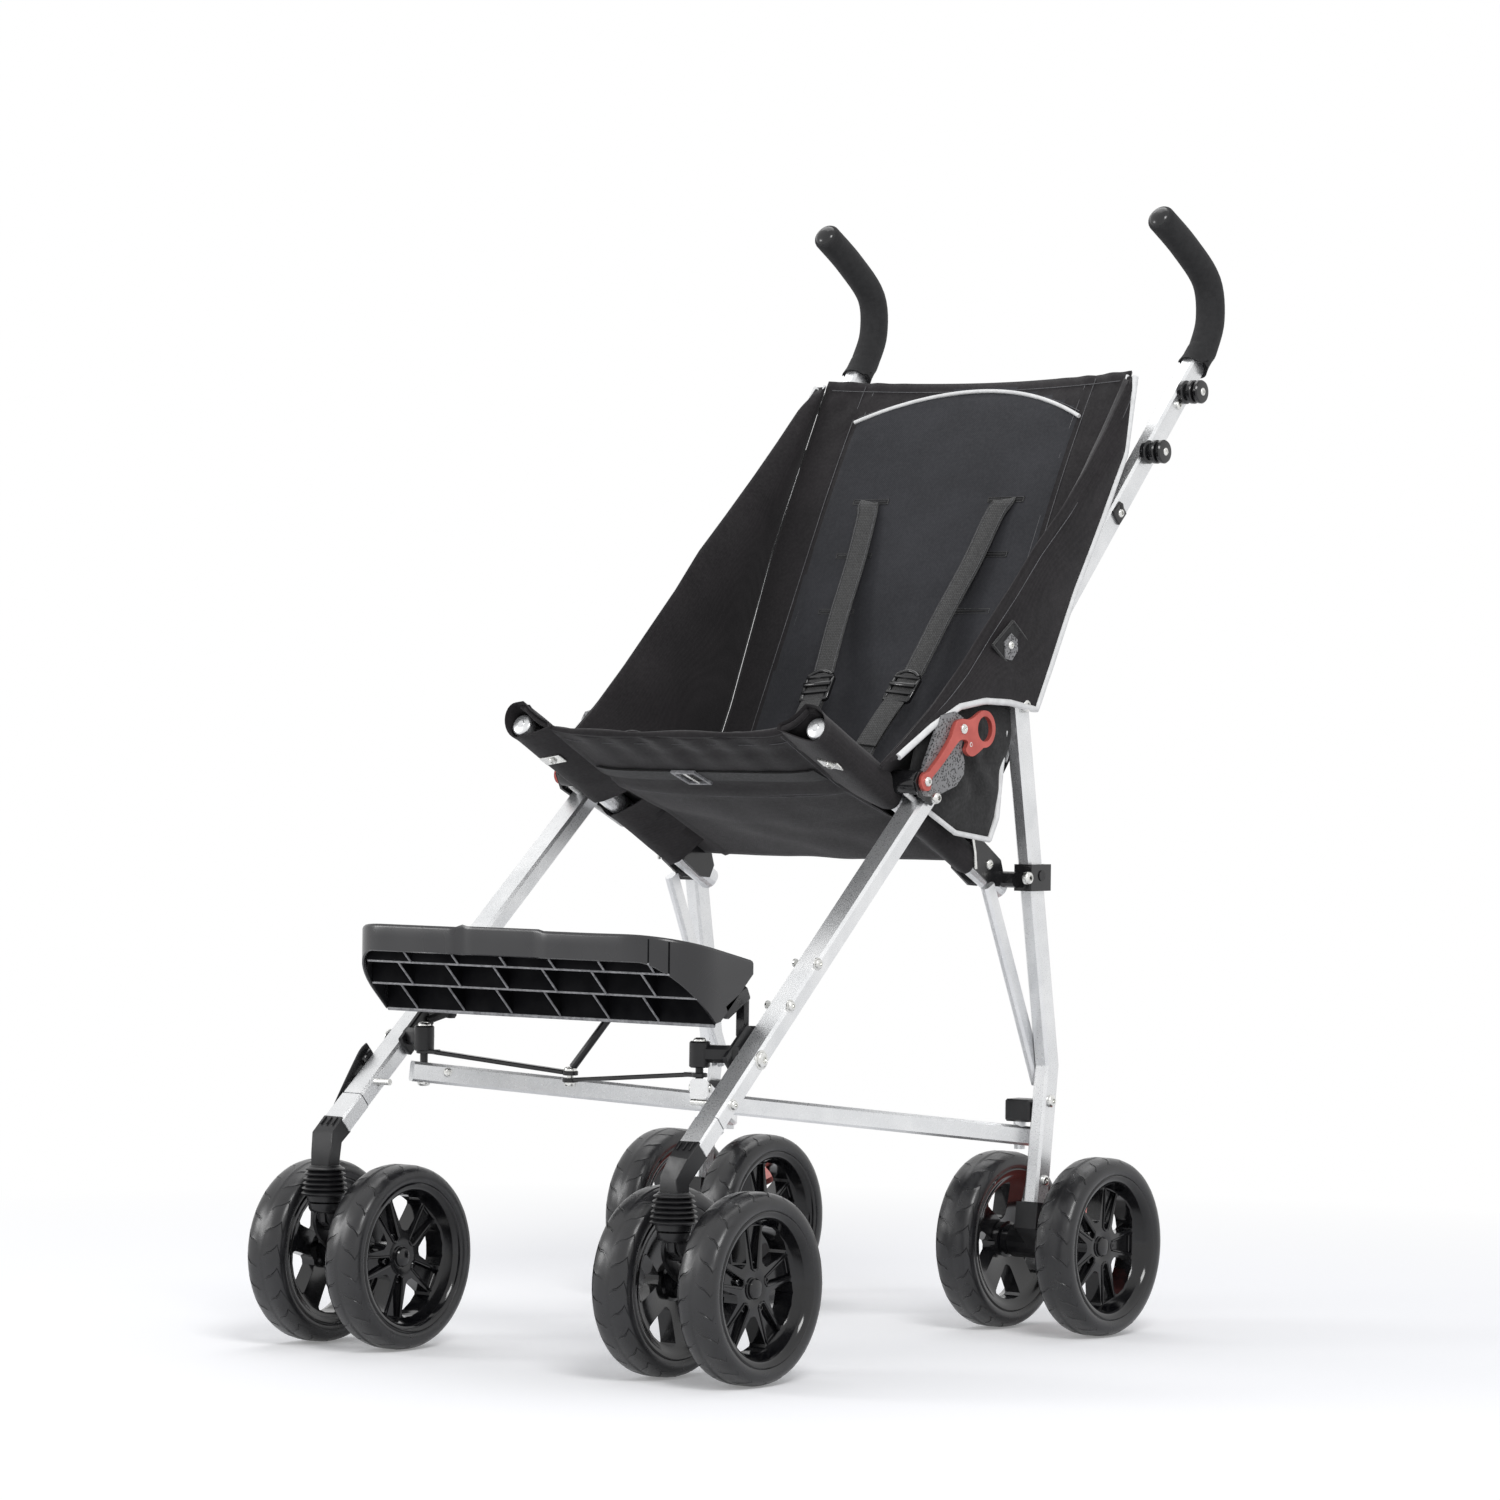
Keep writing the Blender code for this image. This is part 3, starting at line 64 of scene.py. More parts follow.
def place_camera():
    bpy.context.scene.view_settings.view_transform = "Standard"
    azimuth, tilt, roll = radians(37.017), radians(0.2255), radians(0.7143)
    look = Vector((-sin(azimuth) * cos(tilt), cos(azimuth) * cos(tilt), -sin(tilt)))
    right = Vector((cos(azimuth), sin(azimuth), 0))
    up = right.cross(look)
    side = right * cos(roll) + up * sin(roll)
    top = up * cos(roll) - right * sin(roll)
    data = bpy.data.cameras.new("camera")
    data.sensor_width = 36
    data.lens = 129.02
    camera = in_scene("camera", data)
    turn = Matrix((side, top, -look)).transposed().to_4x4()
    camera.matrix_world = Matrix.Translation((3.15265, -4.22674, 0.588916)) @ turn
    bpy.context.scene.camera = camera


def node_tree(owner):
    owner.use_nodes = True
    owner.node_tree.nodes.clear()
    return owner.node_tree


def add(tree, kind, operation=None, **inputs):
    """A shader node with its constant inputs, whose names have _ for a space."""
    node = tree.nodes.new("ShaderNode" + kind)
    if operation:
        node.operation = operation
    for name, value in inputs.items():
        node.inputs[name.replace("_", " ")].default_value = value
    return node


def fed(tree, node, *sources):
    """Link sources to a node's first inputs and return its first output, if it has one."""
    for k, source in enumerate(sources):
        tree.links.new(source, node.inputs[k])
    return node.outputs[0] if node.outputs else None


def seen_directly(tree):
    """One where a ray comes from the camera, through glass or off a mirror-like surface."""
    path = add(tree, "LightPath").outputs
    total = fed(tree, add(tree, "Math", "ADD"), path["Is Camera Ray"], path["Is Transmission Ray"])
    return fed(tree, add(tree, "Math", "ADD"), total, path["Is Glossy Ray"])


def light_stage():
    world = bpy.data.worlds.new("studio")
    bpy.context.scene.world = world
    tree = node_tree(world)
    lit = add(tree, "Background", Color=(0.93, 0.95, 1, 1), Strength=0.46).outputs[0]
    shown = add(tree, "Background", Color=(1, 1, 1, 1), Strength=1).outputs[0]
    fed(tree, add(tree, "OutputWorld"), fed(tree, add(tree, "MixShader"), seen_directly(tree), lit, shown))

    for name, place, aim_z, size, power in (
        ("key", (2.6, -2.2, 3.2), 0.5, 1.4, 76),
        ("top", (-1, 1, 3.6), 0.4, 2.6, 32),
        ("fill", (-2.8, -2.4, 1.6), 0.5, 1.1, 32),
    ):
        data = bpy.data.lights.new(name, "AREA")
        data.size = size
        data.energy = power
        lamp = in_scene(name, data)
        lamp.location = place
        lamp.rotation_euler = (Vector((0, 0, aim_z)) - Vector(place)).to_track_quat("-Z", "Y").to_euler()

    # a white floor that keeps the contact shadows and fades into the background
    reach = 40
    mesh = bpy.data.meshes.new("floor")
    corners = ((-reach, -reach, 0), (reach, -reach, 0), (reach, reach, 0), (-reach, reach, 0))
    mesh.from_pydata(corners, [], [(0, 1, 2, 3)])
    floor = in_scene("floor", mesh)
    floor.location.z = -0.0005
    paint = bpy.data.materials.new("floor")
    tree = node_tree(paint)
    matt = add(tree, "BsdfDiffuse", Color=(0.86, 0.86, 0.87, 1)).outputs[0]
    near = fed(tree, add(tree, "AddShader"), matt, add(tree, "Emission", Strength=0.22).outputs[0])
    white = add(tree, "Emission", Strength=1).outputs[0]
    length = add(tree, "VectorMath", "LENGTH")
    tree.links.new(add(tree, "TexCoord").outputs["Object"], length.inputs[0])
    fade = fed(tree, add(tree, "MapRange", From_Min=0.75, From_Max=1.7), length.outputs["Value"])
    shown = fed(tree, add(tree, "MixShader"), fade, near, white)
    fed(tree, add(tree, "OutputMaterial"), fed(tree, add(tree, "MixShader"), seen_directly(tree), matt, shown))
    mesh.materials.append(paint)


# ---------- materials ----------
class Look:
    """A Principled material with procedural colour, roughness and bump."""

    def __init__(self, name, colour, roughness, metallic=0, specular=0.5, **inputs):
        self.material = bpy.data.materials.new(name)
        self.tree = node_tree(self.material)
        inputs.update(Base_Color=(*colour, 1), Roughness=roughness, Metallic=metallic, Specular_IOR_Level=specular)
        self.shader = add(self.tree, "BsdfPrincipled", **inputs)
        fed(self.tree, add(self.tree, "OutputMaterial"), self.shader.outputs[0])
        self.coords = add(self.tree, "TexCoord").outputs["Object"]
        self.relief = None

    def pattern(self, kind, **inputs):
        node = add(self.tree, kind, **inputs)
        self.tree.links.new(self.coords, node.inputs["Vector"])
        return node

    def noise(self, scale, detail=3, rough=0.55):
        return self.pattern("TexNoise", Scale=scale, Detail=detail, Roughness=rough).outputs["Fac"]

    def cells(self, scale):
        return self.pattern("TexVoronoi", Scale=scale).outputs["Distance"]

    def threads(self, pitch, direction, distort=0.4):
        """Fine ridges that repeat every pitch millimetres along a direction."""
        node = self.pattern("TexWave", Scale=314.159 / pitch, Distortion=distort, Detail=1, Detail_Scale=2)
        node.bands_direction = direction
        return node.outputs["Fac"]

    def math(self, operation, a, b):
        return fed(self.tree, add(self.tree, "Math", operation), a, b)

    def ramp(self, value, low, high, start=0, end=1):
        return fed(self.tree, add(self.tree, "MapRange", From_Min=start, From_Max=end, To_Min=low, To_Max=high),
            value)

    def colours(self, value, low, high, start=0.35, end=0.65):
        node = add(self.tree, "ValToRGB")
        for element, place, colour in zip(node.color_ramp.elements, (start, end), (low, high)):
            element.position = place
            element.color = (*colour, 1)
        self.tree.links.new(fed(self.tree, node, value), self.shader.inputs["Base Color"])

    def roughness(self, value, low, high):
        self.tree.links.new(self.ramp(value, low, high, 0.35, 0.65), self.shader.inputs["Roughness"])

    def bump(self, value, height, strength):
        """Relief of a height in millimetres, over the relief that is there."""
        node = add(self.tree, "Bump", Strength=strength, Distance=height / 1000)
        self.tree.links.new(value, node.inputs["Height"])
        if self.relief:
            self.tree.links.new(self.relief, node.inputs["Normal"])
        self.relief = node.outputs[0]
        self.tree.links.new(self.relief, self.shader.inputs["Normal"])


# name, colour, roughness, metallic, specular | colour pattern, low, high, start, end | roughness pattern, low, high |
# bump pattern, height in mm, strength. A pattern is the noise's arguments, or one number for the scale of cells.
LOOK_TABLE = {
    "tube": (("anodised_tube", (0.8, 0.81, 0.82), 0.3, 0.82),
             ((26, 4, 0.6), (0.7, 0.71, 0.72), (0.82, 0.825, 0.83), 0.3, 0.7),
             ((900, 2, 0.6), 0.26, 0.4), ((900, 2, 0.6), 0.02, 0.6)),
    "plastic": (("black_plastic", (0.012, 0.012, 0.013), 0.36, 0, 0.38),
                ((30,), (0.009, 0.009, 0.01), (0.016, 0.016, 0.017)),
                ((60,), 0.28, 0.42), (1500, 0.06, 0.5)),
    "gloss": (("gloss_plastic", (0.012, 0.012, 0.013), 0.16), ((40,), (0.01, 0.01, 0.011), (0.017, 0.017, 0.018)),
              ((90,), 0.12, 0.24), ((400,), 0.02, 0.4)),
    "tray": (("tray_plastic", (0.02, 0.02, 0.022), 0.28, 0, 0.6),
             ((9, 2), (0.014, 0.014, 0.016), (0.026, 0.026, 0.028)),
             ((20, 2), 0.24, 0.3), (1500, 0.03, 0.15)),
    # shade is painted shade: near black and dull, darker than the tray's own plastic, for the shade in the tray's
    # underside, back wall and ribs
    "shade": (("tray_underside", (0.006, 0.006, 0.007), 0.6, 0, 0.04),
              ((40,), (0.004, 0.004, 0.005), (0.009, 0.009, 0.01)),
              ((60,), 0.5, 0.7), (1500, 0.04, 0.4)),
    # edge is a painted highlight: light grey for the shine along the tray's rib edges and on the seat buckle's frame
    "edge": (("tray_rib_edge", (0.3, 0.3, 0.31), 0.3), ((220, 4), (0.2, 0.2, 0.21), (0.4, 0.4, 0.41)),
             ((300,), 0.24, 0.4), None),
    "grip": (("foam_grip", (0.016, 0.016, 0.017), 0.86), ((160, 4), (0.01, 0.01, 0.011), (0.017, 0.017, 0.018)),
             ((2600, 2, 0.6), 0.74, 0.94), ((2600, 2, 0.6), 0.04, 0.25)),
    "plate": (("hammered_plate", (0.06, 0.06, 0.062), 0.45, 0.3),
              (420, (0.012, 0.012, 0.013), (0.24, 0.24, 0.245), 0.25, 0.5),
              ((500,), 0.34, 0.6), (260, 0.4, 0.9)),
    "red": (("red_anodised", (0.56, 0.105, 0.085), 0.34, 0.35), ((35,), (0.5, 0.088, 0.072), (0.64, 0.13, 0.105)),
            ((500,), 0.28, 0.42), ((1200,), 0.02, 0.5)),
    "nickel": (("nickel", (0.72, 0.72, 0.7), 0.22, 1), ((200,), (0.62, 0.62, 0.6), (0.8, 0.8, 0.78)),
               ((700,), 0.16, 0.34), None),
    "tyre": (("tyre", (0.016, 0.016, 0.018), 0.3, 0, 0.55), ((40,), (0.013, 0.013, 0.014), (0.018, 0.018, 0.02)),
             ((120,), 0.27, 0.33), ((900, 2), 0.02, 0.12)),
    "rim": (("rim_plastic", (0.006, 0.006, 0.007), 0.12), ((50,), (0.004, 0.004, 0.005), (0.008, 0.008, 0.009)),
            ((60,), 0.1, 0.15), ((300,), 0.01, 0.1)),
    "piping": (("white_piping", (0.86, 0.86, 0.85), 0.5), ((120, 4), (0.78, 0.78, 0.77), (0.9, 0.9, 0.89)),
               ((300,), 0.42, 0.6), ((1500,), 0.1, 0.6)),
    "thread": (("thread", (0.1, 0.1, 0.105), 0.7), ((700,), (0.07, 0.07, 0.075), (0.15, 0.15, 0.155)), None,
               ((2500,), 0.1, 0.8)),
}


def fabric_look(name, low, high, pitch=1.1, specular=0.25):
    made = Look(name, low, 0.9, 0, specular, Sheen_Weight=0.16, Sheen_Roughness=0.45)
    weave = made.math("MULTIPLY", made.threads(pitch, "X"), made.threads(pitch, "DIAGONAL"))
    cloudy = made.math("ADD", made.ramp(weave, -0.12, 0.12), made.noise(14, 5, 0.6))
    made.colours(cloudy, low, high, 0.3, 0.75)
    made.roughness(made.noise(300), 0.78, 0.95)
    made.bump(weave, 0.16, 0.55)
    made.bump(made.noise(55, 4, 0.6), 0.6, 0.35)
    return made


def make_looks():
    looks = {}
    for key, (base, *surface) in LOOK_TABLE.items():
        made = looks[key] = Look(*base)
        for work, row in zip((made.colours, made.roughness, made.bump), surface):
            if row:
                pattern, *rest = row
                work(made.noise(*pattern) if isinstance(pattern, tuple) else made.cells(pattern), *rest)
    looks["fabric"] = fabric_look("seat_fabric", (0.0135, 0.012, 0.013), (0.026, 0.023, 0.0245))
    looks["inset"] = fabric_look("inset_fabric", (0.025, 0.0255, 0.029), (0.04, 0.0405, 0.046), 1.3)
    looks["lining"] = fabric_look("lining_satin", (0.0045, 0.0045, 0.005), (0.012, 0.012, 0.0125), 0.8, 0.5)
    webbing = looks["webbing"] = Look("webbing", (0.014, 0.014, 0.014), 0.62, Sheen_Weight=0.2)
    weave = webbing.math("MULTIPLY", webbing.threads(2.1, "X", 0), webbing.threads(1.7, "Z", 0))
    webbing.colours(weave, (0.006, 0.006, 0.006), (0.034, 0.034, 0.034), 0.1, 0.9)
    webbing.roughness(webbing.noise(400), 0.5, 0.75)
    webbing.bump(weave, 0.3, 0.9)
    return looks


# ---------- shapes ----------
def mix(a, b, t):
    return a + (b - a) * t


def clamp(v):
    return min(max(v, 0), 1)


def bell(v, width):
    return exp(-((v / width) ** 2))


def on_path(points, t):
    """Point at a share t of a broken line's length."""
    points = [Vector(p) for p in points]
    spans = [(b - a).length for a, b in zip(points, points[1:])]
    left = t * sum(spans)
    for a, b, span in zip(points, points[1:], spans):
        if left <= span:
            return a.lerp(b, left / span)
        left -= span
    return points[-1]


def smooth_path(points, per_span=4):
    padded = [Vector(p) for p in (points[0], *points, points[-1])]
    out = []
    for p0, p1, p2, p3 in zip(padded, padded[1:], padded[2:], padded[3:]):
        for k in range(per_span):
            t = k / per_span
            a = 2 * p1 + (p2 - p0) * t + (2 * p0 - 5 * p1 + 4 * p2 - p3) * t * t
            out.append((a + (3 * p1 - p0 - 3 * p2 + p3) * t * t * t) / 2)
    return out + [padded[-1]]


def ripple(x, y, z, scale, seed=0):
    """Smooth noise between about -1 and 1, with scale waves to a metre."""
    k = scale / 1000
    return noise.noise(Vector((x * k + seed, y * k - seed, z * k + 2 * seed)))


def field(rows, cols, point):
    """A grid of points, from their shares of its length and width."""
    return [[point(i / (rows - 1), j / (cols - 1)) for j in range(cols)] for i in range(rows)]


def around(axis, sides):
    """Unit directions around an axis."""
    a = axis.orthogonal().normalized()
    b = axis.cross(a)
    turns = [2 * pi * k / sides for k in range(sides)]
    return [a * cos(t) + b * sin(t) for t in turns]


def pin(low, high, radius, ease=0, lift=0):
    """A lathe profile: a plain pin, or one whose ends are eased by so much in radius and height."""
    if not ease:
        return [(0, low), (radius, low), (radius, high), (0, high)]
    side = [(radius - ease, low), (radius, low + lift), (radius, high - lift), (radius - ease, high)]
    return [(0, low), *side, (0, high)]


def rework(mesh, extra=None, weld=0):
    """Join another mesh to this one, or weld it and turn its faces outwards."""
    bm = bmesh.new()
    bm.from_mesh(mesh)
    if extra:
        bm.from_mesh(extra)
    else:
        if weld:
            bmesh.ops.remove_doubles(bm, verts=bm.verts, dist=weld)
        bmesh.ops.recalc_face_normals(bm, faces=bm.faces)
    bm.to_mesh(mesh)
    bm.free()


def smoothed(mesh, angle):
    mesh.shade_smooth()
    mesh.set_sharp_from_angle(angle=radians(angle))


ACROSS = "across the frame"
# the smoothing angle and slot that go with a piece's first look
FINISH = {"fabric": (70, "fabric"), "piping": (60, "fabric"), "thread": (60, "fabric"), "lining": (60, "fabric"),
          "webbing": (60, "webbing"), "nickel": (35, "tube"), "tube": (40, "tube"), "grip": (60, "grip")}


class Shape:
    """Collects grids of points into one mesh; a mark picks the face's material."""

    def __init__(self):
        self.points, self.faces, self.marks = [], [], []

    def face(self, corners, mark=0):
        self.faces.append(corners)
        self.marks.append(mark)

    def grid(self, rows, mark=0, closed=True, ends=True):
        base, count = len(self.points), len(rows[0])
        for row in rows:
            self.points += [tuple(p) for p in row]
        for i in range(len(rows) - 1):
            here = base + i * count
            for j in range(count if closed else count - 1):
                m = (j + 1) % count
                self.face((here + j, here + m, here + count + m, here + count + j), mark)
        if ends:
            for first in (base, len(self.points) - count):
                self.face(tuple(range(first, first + count)), mark)
        return self

    def sweep(self, path, section, mark=0, radii=None, facing=None):
        """Sweep an (across, up) section along a path; facing is the section's up direction."""
        path = [Vector(p) for p in path]
        rows = []
        up = Vector(facing or Z)
        for i, p in enumerate(path):
            along = (path[min(i + 1, len(path) - 1)] - path[max(i - 1, 0)]).normalized()
            if abs(along.dot(up)) > 0.97:
                up = Vector((0, 1, 0)) if abs(along.y) < 0.9 else Vector(X)
            across = along.cross(up).normalized()
            over = across.cross(along).normalized()
            if facing is None:
                up = over
            k = radii[i] if radii else 1
            rows.append([p + across * (a * k) + over * (b * k) for a, b in section])
        return self.grid(rows, mark)

    def tube(self, path, radius, sides=12, mark=0, radii=None):
        turns = [2 * pi * k / sides for k in range(sides)]
        return self.sweep(path, [(radius * cos(t), radius * sin(t)) for t in turns], mark, radii)

    def lathe(self, profile, centre, axis, sides=32, mark=0):
        """Turn (radius, height) points about an axis through a centre."""
        centre, axis = Vector(centre), Vector(axis).normalized()
        ring = around(axis, sides)
        return self.grid([[centre + axis * h + d * max(r, 0.01) for d in ring] for r, h in profile], mark)

    def bolt(self, centre, axis, radius, height, mark=0):
        """A domed screw head with a six-sided socket."""
        centre, axis, sides, rows = Vector(centre), Vector(axis).normalized(), 24, []
        for share, lift, six in ((1, -0.25, 0), (1, 0.3, 0), (0.94, 0.62, 0), (0.76, 0.9, 0),
                                 (0.55, 1, 0), (0.42, 1, 1), (0.4, 0.35, 1), (0.05, 0.3, 0)):
            row = []
            for k, way in enumerate(around(axis, sides)):
                turn = 2 * pi * k / sides
                flat = 0.9 / cos(turn % (pi / 3) - pi / 6) if six else 1
                row.append(centre + axis * (height * lift) + way * (radius * share * flat))
            rows.append(row)
        return self.grid(rows, mark)

    def bar(self, start, end, width, height, facing=Z, mark=0, corner=0.22):
        """A bar of rounded rectangular section with eased ends."""
        c = min(width, height) * corner
        w, h = width / 2, height / 2
        section = [(w - c, -h), (w, -h + c), (w, h - c), (w - c, h)]
        section += [(-w + c, h), (-w, h - c), (-w, -h + c), (-w + c, -h)]
        start, end = Vector(start), Vector(end)
        along = (end - start).normalized()
        path = [start, start + along * c, end - along * c, end]
        return self.sweep(path, section, mark, (0.8, 1, 1, 0.8), facing)

    def slab(self, outline, low, high, ease=0.6, mark=0):
        """A (y, z) outline between two stations on x, with eased edges."""
        middle = [sum(p[k] for p in outline) / len(outline) for k in (0, 1)]
        shrink = ease / max(dist(p, middle) for p in outline)
        rows = []
        for x, k in ((low, 1 - shrink), (low + ease, 1), (high - ease, 1), (high, 1 - shrink)):
            rows.append([(x, mix(middle[0], u, k), mix(middle[1], v, k)) for u, v in outline])
        return self.grid(rows, mark)

    def cloth(self, grid, thickness, mark=None):
        """A sheet with two faces and a rounded edge, from a grid of points."""
        p = np.array(grid, dtype=float)
        normal = np.cross(np.gradient(p, axis=0), np.gradient(p, axis=1))
        normal /= np.linalg.norm(normal, axis=2, keepdims=True) + 1e-9
        rows, cols = p.shape[:2]
        front = len(self.points)
        for sign in (1, -1):
            base = len(self.points)
            self.points += [tuple(v) for v in (p + normal * (sign * thickness / 2)).reshape(-1, 3)]
            for i in range(rows - 1):
                for j in range(cols - 1):
                    a = base + i * cols + j
                    self.face((a, a + 1, a + cols + 1, a + cols)[::sign], mark(i, j) if mark else 0)
        ring = [(0, j) for j in range(cols)] + [(i, cols - 1) for i in range(1, rows)]
        ring += [(rows - 1, j) for j in range(cols - 2, -1, -1)] + [(i, 0) for i in range(rows - 2, 0, -1)]
        base, count, back = len(self.points), len(ring), rows * cols
        for i, j in ring:
            out = p[i, j] - p[min(max(i, 1), rows - 2), min(max(j, 1), cols - 2)]
            out /= np.linalg.norm(out) + 1e-9
            self.points.append(tuple(p[i, j] + out * thickness * 0.35))
        for k in range(count):
            m = (k + 1) % count
            a, b = (front + ring[n][0] * cols + ring[n][1] for n in (k, m))
            self.face((a, b, base + m, base + k))
            self.face((base + k, base + m, b + back, a + back))
        return self

    def object(self, name, looks, body=None, smooth=None, slot=None, replaces=None):
        """The finished piece; without a body it is scratch, for cutting or copying."""
        mesh = bpy.data.meshes.new(name)
        mesh.from_pydata([[v / 1000 for v in p] for p in self.points], [], self.faces)
        rework(mesh)
        looks = looks.split()
        for look in looks:
            mesh.materials.append(LOOKS[look].material)
        if len(looks) > 1:
            mesh.polygons.foreach_set("material_index", self.marks)
        angle, kind = FINISH.get(looks[0], (40, "moulding"))
        smoothed(mesh, smooth or angle)
        mesh.update()
        made = in_scene(name, mesh)
        if body == ACROSS:
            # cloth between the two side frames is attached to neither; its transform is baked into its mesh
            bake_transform(made)
        elif body:
            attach(made, body)
        if body:
            slot or kind
        if replaces:
            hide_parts(replaces)
        return made


def cut(piece, cutters):
    """Cut closed shapes out of a piece and keep the result as its mesh."""
    for cutter in cutters:
        tool = piece.modifiers.new("cut", "BOOLEAN")
        tool.operation = "DIFFERENCE"
        tool.solver = "EXACT"
        tool.object = cutter
    bpy.context.view_layer.update()
    mesh = bpy.data.meshes.new_from_object(piece.evaluated_get(bpy.context.evaluated_depsgraph_get()))
    piece.modifiers.clear()
    piece.data = mesh
    for cutter in cutters:
        bpy.data.objects.remove(cutter, do_unlink=True)


# ---------- the frame's lines, as (y, z), as the source has them ----------
HANDLE_TOP, HANDLE_KNEE = (424.5, 974), (115, 613)
LEG_TOP, LEG_FOOT = (-36, 529.5), (-379, 233)
RAIL_FRONT, RAIL_REAR = (-176, 588.8), (124, 435.9)
RAIL_X, RAIL_RADIUS, CLOTH_EDGE_X = 178.1, 11, 170.1
BACK_TOP_Z, BACK_TOP_Y, BACK_LEAN, BACK_THICK = 954, 335, 0.506, 11
SEAT_FRONT_Y, SEAT_REAR_Y, SEAT_THICK = -181, 100, 7
GAP, CROSSING_Z = 0.4, 780
WHEEL_Z, CASTER_X, CASTER_AXLE_Y = 87, 208, -375
LUG_X, LUG_Y = 165, -335


def between(a, b, v):
    """Share of the way from a to b at which v lies."""
    return (v - a) / (b - a)


def handle_x(z):
    return mix(190, 212, max(0, between(HANDLE_KNEE[1], HANDLE_TOP[1], z)))


def leg_x(z):
    return mix(202, 211.5, between(LEG_TOP[1], LEG_FOOT[1], z))


def rail_z(y):
    return mix(RAIL_FRONT[1], RAIL_REAR[1], between(RAIL_FRONT[0], RAIL_REAR[0], y))


def back_y(z):
    return BACK_TOP_Y - (BACK_TOP_Z - z) * BACK_LEAN


def back_half(z):
    low, crossing = 180, handle_x(CROSSING_Z) - 10
    if z < HANDLE_KNEE[1]:
        return mix(165.9, low, clamp((z - 500) / 60))
    if z < CROSSING_Z:
        return mix(low, crossing, between(HANDLE_KNEE[1], CROSSING_Z, z))
    return mix(crossing, 188.5, between(CROSSING_Z, BACK_TOP_Z, z))


def back_crown(z, u):
    return (1 - u * u) * mix(1.5, 20, clamp(between(800, BACK_TOP_Z, z)) ** 2)


def seat_height(x, y):
    slope = (RAIL_REAR[1] - RAIL_FRONT[1]) / (RAIL_REAR[0] - RAIL_FRONT[0])
    lift = (RAIL_RADIUS + GAP + SEAT_THICK / 2) * hypot(1, slope)
    u = min(abs(x) / CLOTH_EDGE_X, 1)
    return rail_z(y) + lift - (1 - u * u) * mix(46, 2, between(SEAT_FRONT_Y, SEAT_REAR_Y, y))


def back_point(x, z, off=0):
    """Point on the backrest's front face, off millimetres in front of it."""
    crown = back_crown(z, min(abs(x) / back_half(z), 1))
    stand = (BACK_THICK / 2 + off) / hypot(1, BACK_LEAN)
    return Vector((x, back_y(z) + crown - stand, z - crown * 0.3 + stand * BACK_LEAN))


# ---------- wheels ----------
def taken(piece):
    """The mesh of a scratch piece, which goes."""
    mesh = piece.data
    bpy.data.objects.remove(piece, do_unlink=True)
    return mesh


def tyre_mesh():
    half = [(69, 16.5), (70.2, 18.6), (72.2, 20.2), (75.2, 20.9), (78.5, 20.8), (81.2, 20)]
    half += [(83.4, 18.4), (85.1, 15.8), (86.2, 12.4), (86.8, 8.4), (87, 4), (87, 0)]
    profile = half + [(r, -x) for r, x in half[-2::-1]]
    groove = ((0, -0.12), (0.03, 0.62), (0.07, 0.62), (0.1, -0.12), (0.15, 0), (0.34, 0), (0.56, 0), (0.78, 0),
        (0.95, 0))
    grooves = 24
    rows = []
    for k in range(grooves):
        for share, deep in groove:
            row = []
            for r, x in profile:
                tread = clamp((r - 79.5) / 3)
                reach = abs(x) / 20
                bend = 0.95 * (reach + 0.13 * sin(2 * pi * reach)) + (0.5 if x < 0 else 0)
                turn = 2 * pi / grooves * (k + share + bend * tread)
                if 5 < abs(x) < 19:
                    r -= 1.2 * deep * tread
                row.append((x, r * cos(turn), r * sin(turn)))
            rows.append(row)
    tyre = Shape().grid(rows + rows[:1], closed=False, ends=False).object("tyre_shape", "tyre", smooth=32)
    rework(tyre.data, weld=1e-6)
    return taken(tyre)


